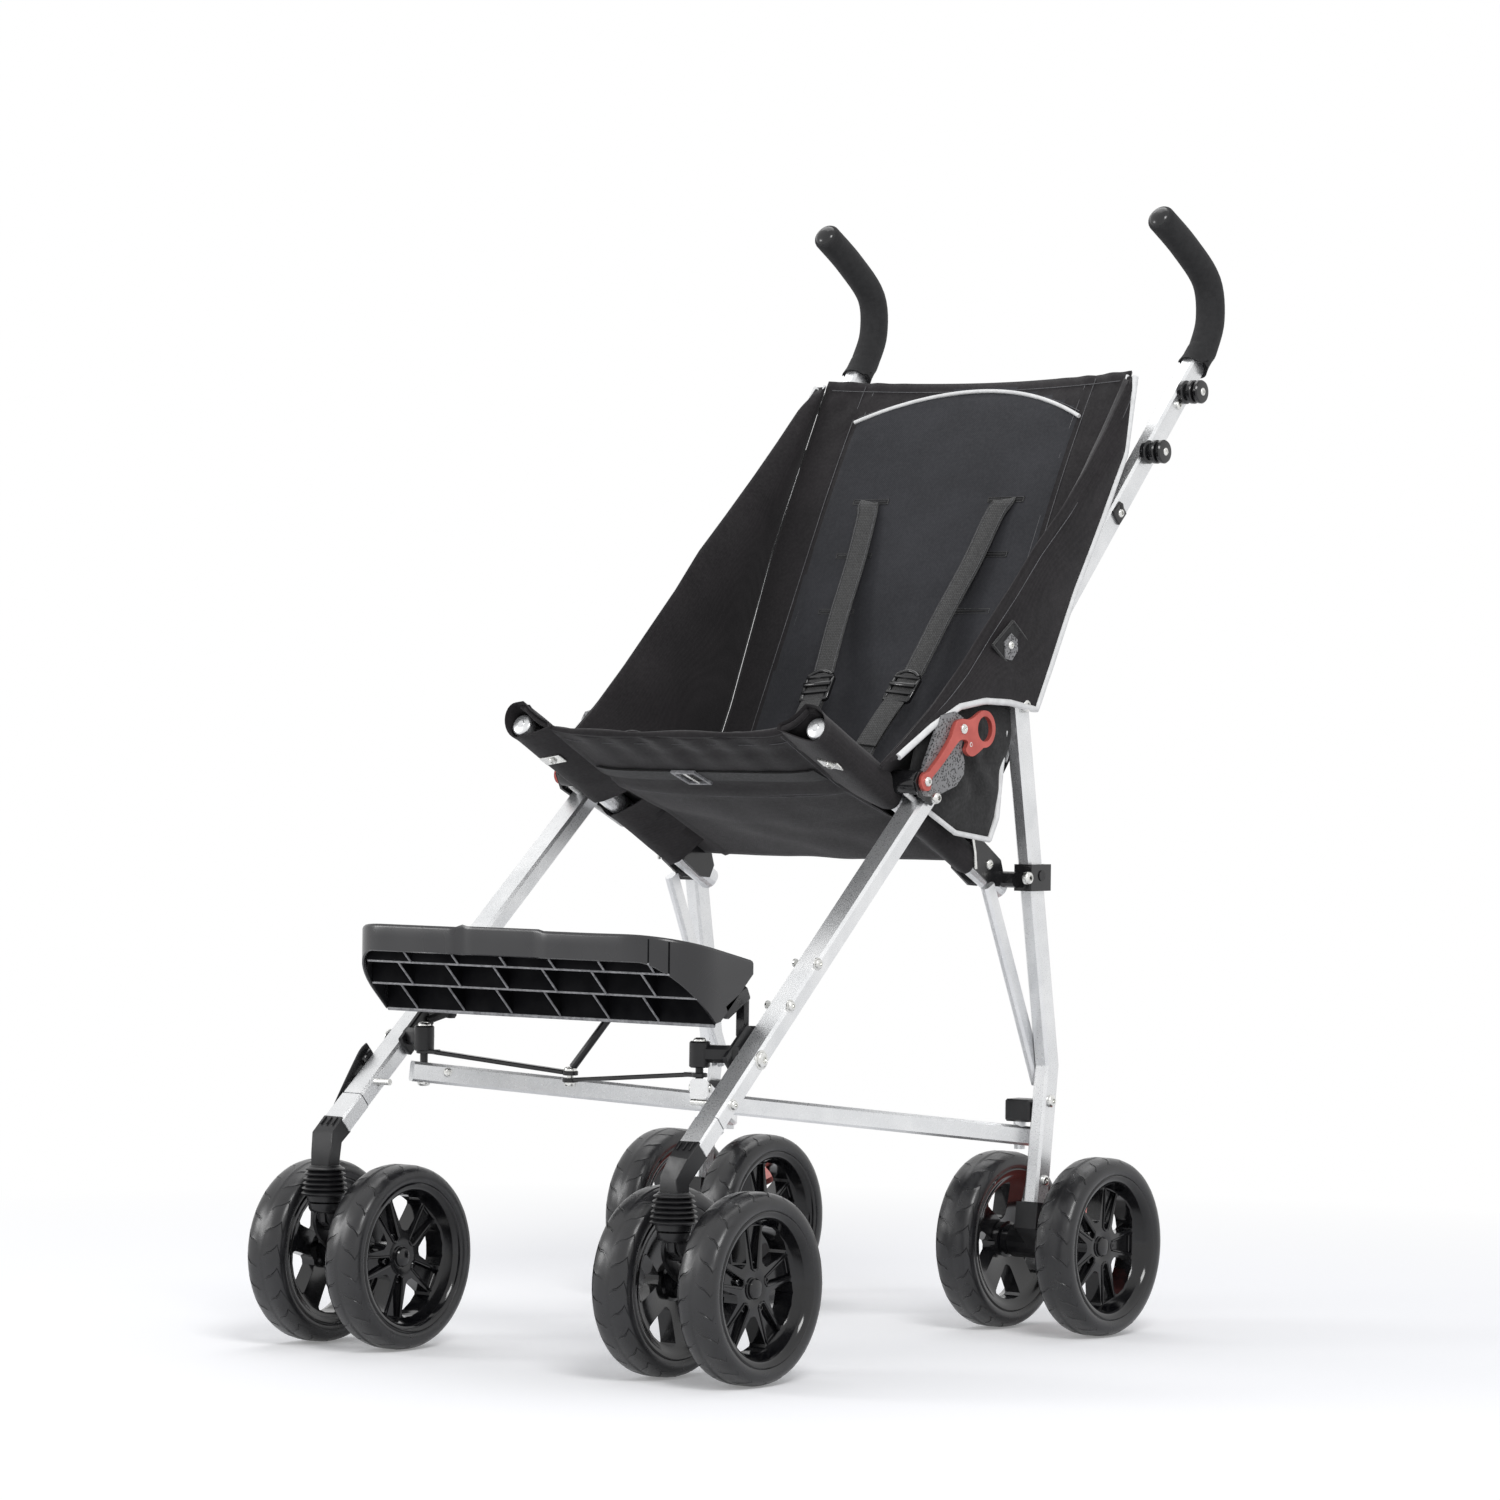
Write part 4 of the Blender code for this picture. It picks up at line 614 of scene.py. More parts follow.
def rim_mesh():
    profile = [(0, 7.8), (5, 7.6), (8.2, 6.8), (9.2, 5.8), (9.4, 3.4), (10.2, 3), (15, 4), (20, 3.8), (54, 1.6),
        (57.5, 2.2)]
    profile += [(60, 6), (62.2, 14), (64, 17.6), (66.4, 19.6), (69.4, 20.2), (71, 19), (71.2, 17.2), (69, 15),
        (66.8, 11)]
    profile += [(66.8, -11), (69, -15), (71.2, -17.2), (71, -19), (69.4, -20.2), (66.4, -19.6), (64, -18),
        (61.2, -16.8)]
    profile += [(59.2, -16), (54, -15.8), (30, -13), (18, -10), (15.2, -11), (14, -18.8), (4.6, -19), (4.6, -6.2),
        (0, -6)]
    rim = Shape().lathe(profile, (0, 0, 0), X, 80).object("rim_shape", "rim", smooth=30)
    half = [(26.2, 0.16), (33, 0.26), (42, 0.335), (50, 0.375), (55.5, 0.39), (58, 0.36), (58.8, 0.2)]
    window = [(24.8, 0)] + half + [(59, 0)] + [(r, -a) for r, a in half[::-1]]
    spokes = 5
    cutters, lugs, bosses = [], Shape(), Shape()
    for k in range(spokes):
        middle, spoke = 2 * pi * (k + 0.5) / spokes, 2 * pi * k / spokes
        hole = Shape().slab([(r * cos(middle + a), r * sin(middle + a)) for r, a in window], -30, 30)
        along = Vector((cos(spoke), sin(spoke)))
        side = Vector((-along.y, along.x))
        # each spoke has a recess with a raised lip around it
        turns = [pi / 2 + pi * turn / 6 for turn in range(7)]
        outline = [along * (21.5 + 4.7 * cos(a)) + side * (4.7 * sin(a)) for a in turns]
        outline += [along * 56.5 - side * 10.4, along * 56.5 + side * 10.4]
        lip = smooth_path([(0, *p) for p in outline[-1:] + outline[:-1]], 2)
        recess = Shape().slab([tuple(p) for p in outline], -1.4, 20)
        cutters += [hole.object("window", "rim"), recess.object("recess", "rim")]
        lugs.tube([(mix(3.8, 1.8, (hypot(p.y, p.z) - 20) / 36), p.y, p.z) for p in lip], 1.3, 8)
        bosses.lathe([(3.4, 0), (3.4, 3), (2.8, 3.8), (1.8, 3.8), (1.6, 2.6), (0, 2.4)], (-1.6, *(along * 21.8)),
            X, 14)
    cut(rim, cutters)
    for shape in (lugs, bosses):
        rework(rim.data, taken(shape.object("lugs", "rim", smooth=35)))
    if not rim.data.materials:
        rim.data.materials.append(LOOKS["rim"].material)
    smoothed(rim.data, 30)
    return taken(rim)


def wheels():
    shapes = {"tyre": tyre_mesh(), "rim": rim_mesh()}
    turned = {}
    for k, place in enumerate(("front_outer", "front_inner", "rear_outer", "rear_inner")):
        for kind, mesh in shapes.items():
            turned[kind, place] = mesh.copy()
            turned[kind, place].transform(Matrix.Rotation(0.3 + 0.47 * k, 4, "X"))
    for side, s in SIDES:
        for unit, cx, cy, twin in (("front", CASTER_X, CASTER_AXLE_Y, 48.7), ("rear", 207, 178, 58.5)):
            for place, out in (("outer", 1), ("inner", -1)):
                for kind in shapes:
                    node = f"{kind}_{unit}_{place}_{side}"
                    piece = in_scene("shown_" + node, turned[kind, f"{unit}_{place}"])
                    piece.location = [v / 1000 for v in (s * (cx + out * twin), cy, WHEEL_Z)]
                    piece.rotation_euler.z = 0 if s * out > 0 else pi
                    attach(piece, f"{unit}_wheel_{place}_{side}")
                    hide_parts(node)


# ---------- casters, grips and frame fittings ----------
def casters(side, s):
    x, y = s * CASTER_X, -426
    body, fork = side + "_frame", "caster_fork_" + side
    profile = [(0, 138.8), (15, 138.8), (16.4, 139.8), (17.2, 144.6)]
    for k in range(6):
        for share, deep in ((0, 3.6), (0.18, 1.2), (0.42, 0), (0.64, 1), (0.84, 3.2)):
            profile.append((22.4 - 0.7 * k - deep, 145.2 + 4.6 * (k + share)))
    boot = Shape().lathe(profile + [(15, 173), (14, 173.8), (0, 174)], (x, y, 0), Z, 48)
    foot = Vector((s * leg_x(LEG_FOOT[1]), *LEG_FOOT))
    along = (foot - Vector((s * leg_x(LEG_TOP[1]), *LEG_TOP))).normalized()
    normal = Vector((0, along.z, -along.y)).normalized()
    block = [(-11.4, -10), (11.4, -10), (12.2, -9.2), (12.2, 9.2), (11.4, 10), (-11.4, 10), (-12.2, 9.2),
        (-12.2, -9.2)]
    tip = foot + along * 37
    path = [tip - along * 4, tip - along * 3.2, tip + along * 15, (x, y + 0.8, 184), (x, y, 171.5)]
    boot.sweep(path, block, radii=(0.94, 0.97, 0.96, 0.9, 0.86), facing=(0, -0.55, 0.83))
    for across in (-7, 0, 7):
        boot.tube([tip + along * t + normal * 10.4 + Vector((across, 0, 0)) for t in (-2, 3, 8)], 0.7, 8)
    boot.object("caster_boot_" + side, "plastic", body, 24, replaces="caster_socket_" + side)
    Shape().bar(foot - along * 0.4, foot + along * 37, 25, 18, normal, corner=0.1).object("leg_end_" + side,
        "tube", body)

    yoke = Shape().lathe([(0, 129), (11, 129), (13.6, 130.4), (15, 133), (15.4, 137.8), (0, 138.2)], (x, y, 0), Z, 40)
    flat = [(-1.6, -7), (1.6, -7), (2.3, -5), (2.3, 5), (1.6, 7), (-1.6, 7), (-2.3, 5), (-2.3, -5)]
    blade = ((7, -425, 138), (10.5, -424, 124), (13.5, -414, 109), (14.5, -397, 96), (13, CASTER_AXLE_Y, WHEEL_Z))
    for o in (1, -1):
        yoke.sweep(smooth_path([(x + o * a, b, c) for a, b, c in blade], 5), flat, facing=(0, 0.45, 0.89))
        yoke.lathe(pin(-4.2, 4.2, 10, 0.8, 1), (x + o * 13.6, CASTER_AXLE_Y, WHEEL_Z), X, 28)
    yoke.lathe(pin(-29.2, 29.2, 5.2, 0.6, 0.8), (x, CASTER_AXLE_Y, WHEEL_Z), X, 24)
    yoke.lathe(pin(-12.5, 12.5, 3.6), (x, -412, 114), X, 20)
    yoke.slab([(-430, 120), (-424, 116), (-417, 120), (-418, 131), (-431, 131)], x - 4, x + 4)
    yoke.object("caster_yoke_" + side, "plastic", fork, 38, replaces=fork)
    nuts = Shape()
    for o in (1, -1):
        nuts.bolt((x + o * 29, CASTER_AXLE_Y, WHEEL_Z), (o, 0, 0), 5, 1.6)
    nuts.object("caster_screws_" + side, "nickel", fork)


def grips(side, s):
    knee, top = Vector((s * 190, *HANDLE_KNEE)), Vector((s * 212, *HANDLE_TOP))
    along = (top - knee).normalized()
    start = top + along * GAP
    path = [start + along * t for t in (-16, -8, 4, 12)]
    curve = ((0, 21.2, 39.5), (-s, 15, 77.5), (-2 * s, -25, 109.5), (-3 * s, -68.5, 134.5))
    path = smooth_path(path + [start + Vector(p) for p in curve], 6)
    end = (path[-1] - path[-2]).normalized()
    count, sides = len(path), 32
    radii = [1 + 0.1 * max(0, 1 - i / 7) + 0.025 * sin(pi * i / count) for i in range(count)]
    for k in range(1, 6):
        a = pi / 2 * k / 5
        path.append(path[count - 1] + end * (5.5 * sin(a)))
        radii.append(mix(0.45, 1, cos(a) ** 0.7) if k < 5 else 0.4)
    made = Shape().tube(path, 14.5, sides, radii=radii)
    # the grip's lower edge dips at both sides
    for ring in range(3):
        for k in range(ring * sides, (ring + 1) * sides):
            point = Vector(made.points[k])
            away = abs((point - path[ring]).normalized().x)
            notch = max(0, 1 - acos(min(1, away)) / 0.42)
            made.points[k] = tuple(point + along * (12.5 * notch * (1 - ring / 3)))
    body = side + "_frame"
    made.object("grip_" + side, "grip", body, replaces="handle_grip_" + side)
    dome = [(0, -6), (11.8, -6), (12.2, -3), (11.2, -0.4), (8, 1.8), (4, 2.8), (0, 3)]
    Shape().lathe(dome, path[-1], end, 32).object("grip_cap_" + side, "gloss", body, slot="grip")


def fittings(side, s):
    def at(x, y, z):
        return s * x, y, z

    body, leg_body, out, inward = side + "_frame", "rear_leg_" + side, (s, 0, 0), (-s, 0, 0)
    steel = Shape()
    for y, z, r in ((-229.2, 372.8, 4.8), (-272.6, 335.5, 4.8), (-317.5, 288, 7.2), (-361, 249, 4.5)):
        x = leg_x(z) + 12.5
        steel.lathe([(r * 1.25, -0.4), (r * 1.25, 0.6), (r * 1.15, 0.9), (0, 0.9)], at(x, y, z), out, 24)
        steel.bolt(at(x + 0.8, y, z), out, r, 3)
        steel.bolt(at(x - 25, y, z), inward, r * 0.85, 2.4)
    steel.tube([at(x, -366, 250) for x in (200, 190, 180.5)], 3, 14)
    for x, y, z, r, h in (
        (223.8, -63, 541, 4.8, 3), (219.5, -45.6, 525.4, 5.8, 6.2), (215.2, 109.9, 614.5, 6.8, 6.2),
        (handle_x(926.7) + 8, 379, 922, 4.6, 3), (211.5, 282.5, 809, 4.4, 3.4), (192.7, 87, 460, 5, 2.8),
    ):
        steel.bolt(at(x, y, z), out, r, h)
    steel.tube([at(194.5, 56, 486), at(194.5, 60, 472), at(194.5, 62, 456)], 1.6, 10)
    steel.object("frame_screws_" + side, "nickel", body)

    # leg-top barrel and plate, washers, canopy clip, and the rail's rear bracket
    barrel = [(0, 186), (10.8, 186), (11.8, 187.2), (11.8, 215), (11.2, 216.2), (0, 216.5)]
    black = Shape().lathe(barrel, (0, -64, 540), out)
    plate = [(-76, 542), (-70, 550), (-60, 552), (-43, 540), (-40, 525), (-48, 518), (-68, 527)]
    black.slab(plate, s * 216, s * 219, s * 0.4)
    for y, z in ((-218, 360), (-296, 290)):
        black.lathe([(0, -1), (10, -1), (10, 3), (8.4, 4.6), (0, 5)], at(leg_x(z) - 12.5, y, z), inward, 28)
    black.bar(at(210.5, 276, 803), at(210.5, 289, 815), 17, 3.6, X)
    black.bar(at(209.5, 288, 807), at(209.5, 284, 819), 5, 8, X)
    if side == "right":
        clip = [at(226.2, -344, 280), at(226.8, -356, 268), at(226.8, -376, 245), at(226.2, -396, 221)]
        strip = [(-6, -1), (6, -1), (6.6, 0), (6, 1), (-6, 1), (-6.6, 0)]
        black.sweep(smooth_path(clip), strip, radii=(1, 1.1, 1.2, 1.2, 1.1, 1, 0.9, 0.8, 0.7, 0.6, 0.5, 0.4, 0.3),
            facing=X)
        black.bar(at(224, -344, 276), at(224, -354, 266), 11, 5.6, X)
    cheek = [(62, 487), (76, 484), (108, 464), (113, 450), (106, 438), (92, 439), (64, 456)]
    for low, high in ((163.5, 166.2), (190, 192.7)):
        black.slab(cheek, s * low, s * high, s * 0.5)
    black.bar(at(164, 67, 486), at(192, 67, 486), 11, 2.4, (0, 0.4, 0.9))
    black.object("frame_mouldings_" + side, "gloss", body)

    leg = Shape()
    for y, z, r, h in ((119.7, 446.9, 6.6, 4.6), (165.8, 227.3, 6.2, 3.6), (157, 150, 5, 3)):
        leg.bolt(at(215.6, y, z), out, r, h)
    leg.object("rear_leg_screws_" + side, "nickel", leg_body)
    eye = Shape().lathe([(4, 0), (5.2, 0), (5.2, 1.2), (4, 1.2)], at(219, 139.5, 449), out, 20)
    eye.object("clamp_eye_" + side, "plastic", leg_body, 35)

    profile = [(0, 0), (11.2, 0), (12, 1.2), (12, 5.2), (10.8, 6.6), (7.8, 7.4), (7.8, 9.4), (10.8, 10.2),
        (12, 11.4), (12, 14.8)]
    profile += [(11, 16), (7.8, 16.6), (7.8, 18), (10.4, 18.6), (11.8, 19.8), (12, 22.6), (11, 24), (6, 24.4),
        (0, 24.4)]
    bobbins = Shape()
    for y, z in ((388, 935.5), (326, 872)):
        x = handle_x(z) + 7
        bobbins.lathe(profile, at(x, y, z), out, 36).bolt(at(x + 24.2, y, z), out, 4, 1.2, 1)
    bobbins.object("canopy_bobbins_" + side, "gloss nickel", body, 38, "moulding", "bobbins_" + side)


def latch(side, s):
    def arc(centre, radius, turns):
        return [(centre[0] + radius * cos(t), centre[1] + radius * sin(t)) for t in np.radians(turns)]

    base, body = 219.5, "latch_lever_" + side
    pivot, ring, middle = (-63, 541), (32.2, 591.5), (-3.8, 591.3)
    claw = [(-55.5, 544.5), (-36, 559), (-19, 573.5), (-10, 580), (-2, 581.2), (3.6, 579)]
    claw += [(2.6, 575.2), (0.6, 571.2), (4.6, 566.8), (12.5, 565.2), (21.5, 568.6), (30, 573.4)]
    back = [(15, 603), (6.1, 600.5), (-6, 601), (-14, 598.5), (-19.5, 592), (-24.5, 583), (-42, 565), (-60, 550.5)]
    shape = [tuple(p) for p in smooth_path(claw)] + arc(ring, 18, np.linspace(-80, 120, 22))
    shape += [tuple(p) for p in smooth_path(back)] + arc(pivot, 9, np.linspace(95, 325, 13)[1:-1])
    lever = Shape().slab(shape, s * base, s * (base + 4.4), s * 0.4).object("latch_" + side, "red", smooth=35)
    holes = ((12.2, ring, 40), (3.2, middle, 20))
    cut(lever, [Shape().lathe([(r, -20), (r, 20)], (s * base, *p), X, n).object("hole", "red") for r, p, n in holes])
    smoothed(lever.data, 35)
    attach(lever, body)
    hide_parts(body)
    rivets = Shape().bolt((s * (base + 4.2), *middle), (s, 0, 0), 5, 2.6)
    rivets.bolt((s * (base - 0.4), 9, 576.5), (s, 0, 0), 3.6, 5).object("latch_rivets_" + side, "nickel", body)


# ---------- fabric ----------
SEAM_X = 138
FRONT_EDGE = [(196.5, 322, 944), (201, 300, 925), (204, 268, 890), (207, 229, 850), (208.5, 186, 810),
    (208, 139, 770)]
FRONT_EDGE += [(207, 100, 730), (206.5, 57, 690), (206.5, 15, 650), (205, -29, 612), (203, -70, 582),
    (199, -104, 556)]
REAR_EDGE = [(198.5, 327, 948), (213, 288, 868), (215, 245, 802), (216.5, 196, 731), (218, 153, 657),
    (218.4, 126, 611)]
REAR_EDGE += [(218.4, 80, 617.5), (218, 39, 618.5), (215, 1, 612.5), (212, -41, 593), (207, -88, 564)]


def arc_z(x):
    return 939 - 31 * (x / 140.4) ** 2


def back_cloth(t, v):
    u, z = mix(-1, 1, v), mix(473.5, BACK_TOP_Z, t)
    half, crown, edge = back_half(z), back_crown(z, u), 1 - abs(u)
    x, y = u * half, back_y(z) + crown
    z -= crown * 0.3
    # slack below the lap, tension from the top corners, and pull at the seams
    low = max(0, 1 - (z - 470) / 160)
    fold = (1 - u * u) * (3.5 * low * ripple(x, 0, z, 26, 3.1) + 1.4 * ripple(x, y, z, 9, 1.7))
    corner = hypot(edge * half, BACK_TOP_Z - z)
    fold += 1.6 * sin(corner * 0.19) * max(0, 1 - corner / 110) * min(1, edge * 9)
    for place in (-SEAM_X - 2.8, -SEAM_X + 2.8, SEAM_X - 2.8, SEAM_X + 2.8):
        fold += 1.2 * bell(x - place, 1.8)
    if z < arc_z(x) and abs(x) < SEAM_X:
        fold -= 0.8 * min(1, (arc_z(x) - z) / 4)
    fold += bell(z - 942 + 0.3 * crown, 1.5)
    return x, y + fold * 0.89, z - fold * 0.45


def backrest():
    grid = field(78, 81, back_cloth)

    def mark(i, j):
        x, y, z = grid[i][j]
        return 1 if max(abs(x), abs(grid[i][j + 1][0])) < SEAM_X + 3 and z < arc_z(x) else 0

    back = Shape().cloth(grid, 4.6, mark).object("backrest_cover", "fabric inset", ACROSS, replaces="backrest")

    piping, top = Shape(), []
    for x in np.linspace(-140.4, 140.4, 41):
        z = arc_z(x)
        top.append(back_point(x, z + 0.3 * back_crown(z, abs(x) / back_half(z)), -2.2))
    piping.tube(top, 2.1, 10)
    for s in (-1, 1):
        piping.tube([(s * (back_half(z) + 0.8), back_y(z) - 5.2, z) for z in np.linspace(560, 950, 40)], 1.7, 10)
    trims = [piping.object("back_piping", "piping", ACROSS)]

    seams = Shape()
    for x in (5.8 - SEAM_X, -5.8 - SEAM_X, SEAM_X - 5.8, SEAM_X + 5.8):
        seams.tube([back_point(x, z, -3.2) for z in np.linspace(500, 950, 60)], 0.45, 6)
    seams.tube([back_point(x, 944, -2.6) for x in np.linspace(-180, 180, 50)], 0.45, 6)
    seams.tube([back_point(x, arc_z(x) + 6, -2.6) for x in np.linspace(-138, 138, 50)], 0.4, 6)
    trims.append(seams.object("back_stitching", "thread", ACROSS))

    slots = Shape()
    for s in (-1, 1):
        for z in (823, 766.5, 708.5):
            slots.bar(back_point(s * 64, z, -3), back_point(s * 104, z, -3), 3, 1.6, (0, -0.89, 0.45))
            for lift in (-2.4, 2.4):
                slots.tube([back_point(s * x, z + lift, -2.6) for x in np.linspace(62.5, 105.5, 8)], 0.6, 6, 1)
            for x in (62.5, 105.5):
                slots.tube([back_point(s * x, z + lift, -2.6) for lift in (-2.6, 0, 2.6)], 0.9, 6, 1)
    trims.append(slots.object("strap_slots", "lining webbing", ACROSS))


def seat_skin(x, y):
    """The cloth's own height: taut and nearly flat across the front, as the source has it at the rear."""
    u = min(abs(x) / CLOTH_EDGE_X, 1)
    taut = seat_height(RAIL_X, y) - (1 - u ** 8) * 24.5
    return mix(seat_height(x, y), taut, clamp(-y / 90))


def seat_cloth(t, v):
    x, y = mix(-RAIL_X, RAIL_X, v), mix(SEAT_FRONT_Y, SEAT_REAR_Y, t)
    inner = 1 - min(abs(x) / CLOTH_EDGE_X, 1) ** 2
    fold = inner * (2.2 * ripple(x, y, 0, 20, 5.3) + 1.6 * sin(x * 0.15 + 1.2) * bell(y - SEAT_FRONT_Y, 50))
    fold += 1.6 * (bell(y + 150, 6) * sin(0.009 * x + 1) + bell(y + 92, 8)) - 2.2 * bell(y + 71, 3)
    fold -= 1.8 * (bell(x + SEAM_X, 2.2) + bell(x - SEAM_X, 2.2))
    return x, y, seat_skin(x, y) + fold


def seat():
    def under(x, y, off):
        return Vector((x, y + off * 0.4, seat_skin(x, y) - off))

    grid = field(48, 73, seat_cloth)
    cover = Shape().cloth(grid, 4.2).object("seat_cover", "fabric", ACROSS, replaces="seat_sling")

    # the front hem is rolled under itself and carries a little slack
    path, radii = [], []
    for x in np.linspace(-170, 170, 60):
        lift = 1.6 * ripple(x, 1000, 0, 14, 6) - 0.6
        path.append((x, SEAT_FRONT_Y - 0.3 + 1.2 * ripple(x, 0, 0, 18, 2), seat_skin(x, SEAT_FRONT_Y) + lift))
        radii.append(1 + 0.22 * sin(0.06 * x + 9e-6 * x * x))
    hem = Shape().tube(path, 3.2, radii=radii).object("seat_hem", "fabric", ACROSS, 60)

    strip = [(-11.5, -0.8), (11.5, -0.8), (11.8, 0), (11.5, 0.8), (-11.5, 0.8), (-11.8, 0)]
    down = (0, -0.35, -0.94)
    band = Shape().sweep([under(x, -110, 4.2) for x in np.linspace(-133, 132, 40)], strip, facing=down)
    band = band.object("seat_band", "lining", ACROSS, slot="webbing")

    seams = Shape()
    for x in (-SEAM_X - 4.5, -SEAM_X - 1, SEAM_X - 4.5, SEAM_X - 1):
        for off in (2.4, -2.4):
            seams.tube([under(x, y, off) for y in np.linspace(-176, 90, 40)], 0.45, 6)
    for y, first, last in ((-69, -140, 150), (-73, -140, 150), (-166, -160, 160)):
        seams.tube([under(x, y, 2.6) for x in np.linspace(first, last, 40)], 0.45, 6)
    seams = seams.object("seat_stitching", "thread", ACROSS)

    buckle, centre = Shape(), under(-23.7, -110, 6.2)
    right, fore = Vector(X), Vector((0, 0.94, -0.35))
    for a in (-13, 0, 13):
        middle = centre + right * a
        buckle.bar(middle - fore * 14.5, middle + fore * 14.5, 3, 3.4, down, 0 if a else 1)
    for b in (-14.5, 14.5):
        middle = centre + fore * b
        buckle.bar(middle - right * 14.5, middle + right * 14.5, 3.4, 3.6, down)
    # the buckle's frame is light grey as a painted highlight; its middle bar is nickel
    buckle.object("seat_buckle", "edge nickel", ACROSS)


def rail_sleeves(side, s):
    """Sleeves that hold the cloth on a rail, and the rail's cap and tab."""
    body = side + "_frame"
    sleeve = Shape()
    for first, last, seed in ((-186.5, -60, 1300), (-36, 64, 4100)):
        rings = []
        for y in np.linspace(first, last, 40):
            level, seam, ring = rail_z(y), seat_skin(SEAM_X, y), []
            wave = ripple(y, seed, 1000 * s, 26, 3)
            for share in (0, 0.3, 0.6, 0.85):
                sag = 1.6 * sin(pi * share) + 0.8 * ripple(1000 * share, y * 3, 1000 * s, 12, 8)
                low = mix(seam - 2.6, level - 16.6 + wave, share ** 1.15)
                ring.append((s * mix(SEAM_X - 0.5, RAIL_X - 2, share), low - sag))
            r = 14.8 + bell(y - first, 6) + wave * 0.5
            for turn in np.radians(np.linspace(-80, 84, 13)):
                ring.append((s * (RAIL_X + r * cos(turn)), level + 0.3 + r * 1.12 * sin(turn)))
            for share in (0.85, 0.6, 0.3, 0):
                x = mix(SEAM_X + 0.5, RAIL_X - 2, share)
                high = max(seat_skin(x, y) + 2.6, mix(seam, level + 16.8, share))
                ring.append((s * x, high + 0.6 * ripple(1000 * share, y * 2, 1000 * s, 15, 9)))
            rings.append([Vector((x, y, z)) for x, z in ring])
        sleeve.grid(rings, ends=False)
        for mouth, inward in ((rings[0], 1), (rings[-1], -1)):
            core = sum(mouth, Vector()) / len(mouth)
            lip = [core + (p - core) * 0.93 + Vector((0, 0.6, 0)) * inward for p in mouth]
            deep = [core + (p - core) * 0.9 + Vector((0, 14, -6.5)) * inward for p in mouth]
            sleeve.grid([mouth, lip, deep], ends=False)
    sleeve.object("rail_sleeve_" + side, "fabric", body)

    start, rear = Vector((s * RAIL_X, *RAIL_FRONT)), Vector((s * RAIL_X, *RAIL_REAR))
    cap = Shape().lathe([(0, -5), (8.6, -5), (10.4, -4), (11.2, -2.2), (11.4, 6), (0, 6)], start, rear - start)
    cap.lathe([(0, -5.6), (3.2, -5.6), (4, -4.8), (0, -4.6)], start, rear - start, 20)
    cap.object("rail_cap_" + side, "tube", body)
    y, down = -142, (0, -0.45, -0.89)
    low = rail_z(y) - 17.2
    tab = Shape().bar((s * 156, y, low + 4), (s * 180, y - 1, low), 13.5, 1.8, down)
    tab.bolt((s * 168, y - 1, low + 1.2), down, 4.4, 2.4).object("rail_tab_" + side, "nickel", body, 40)


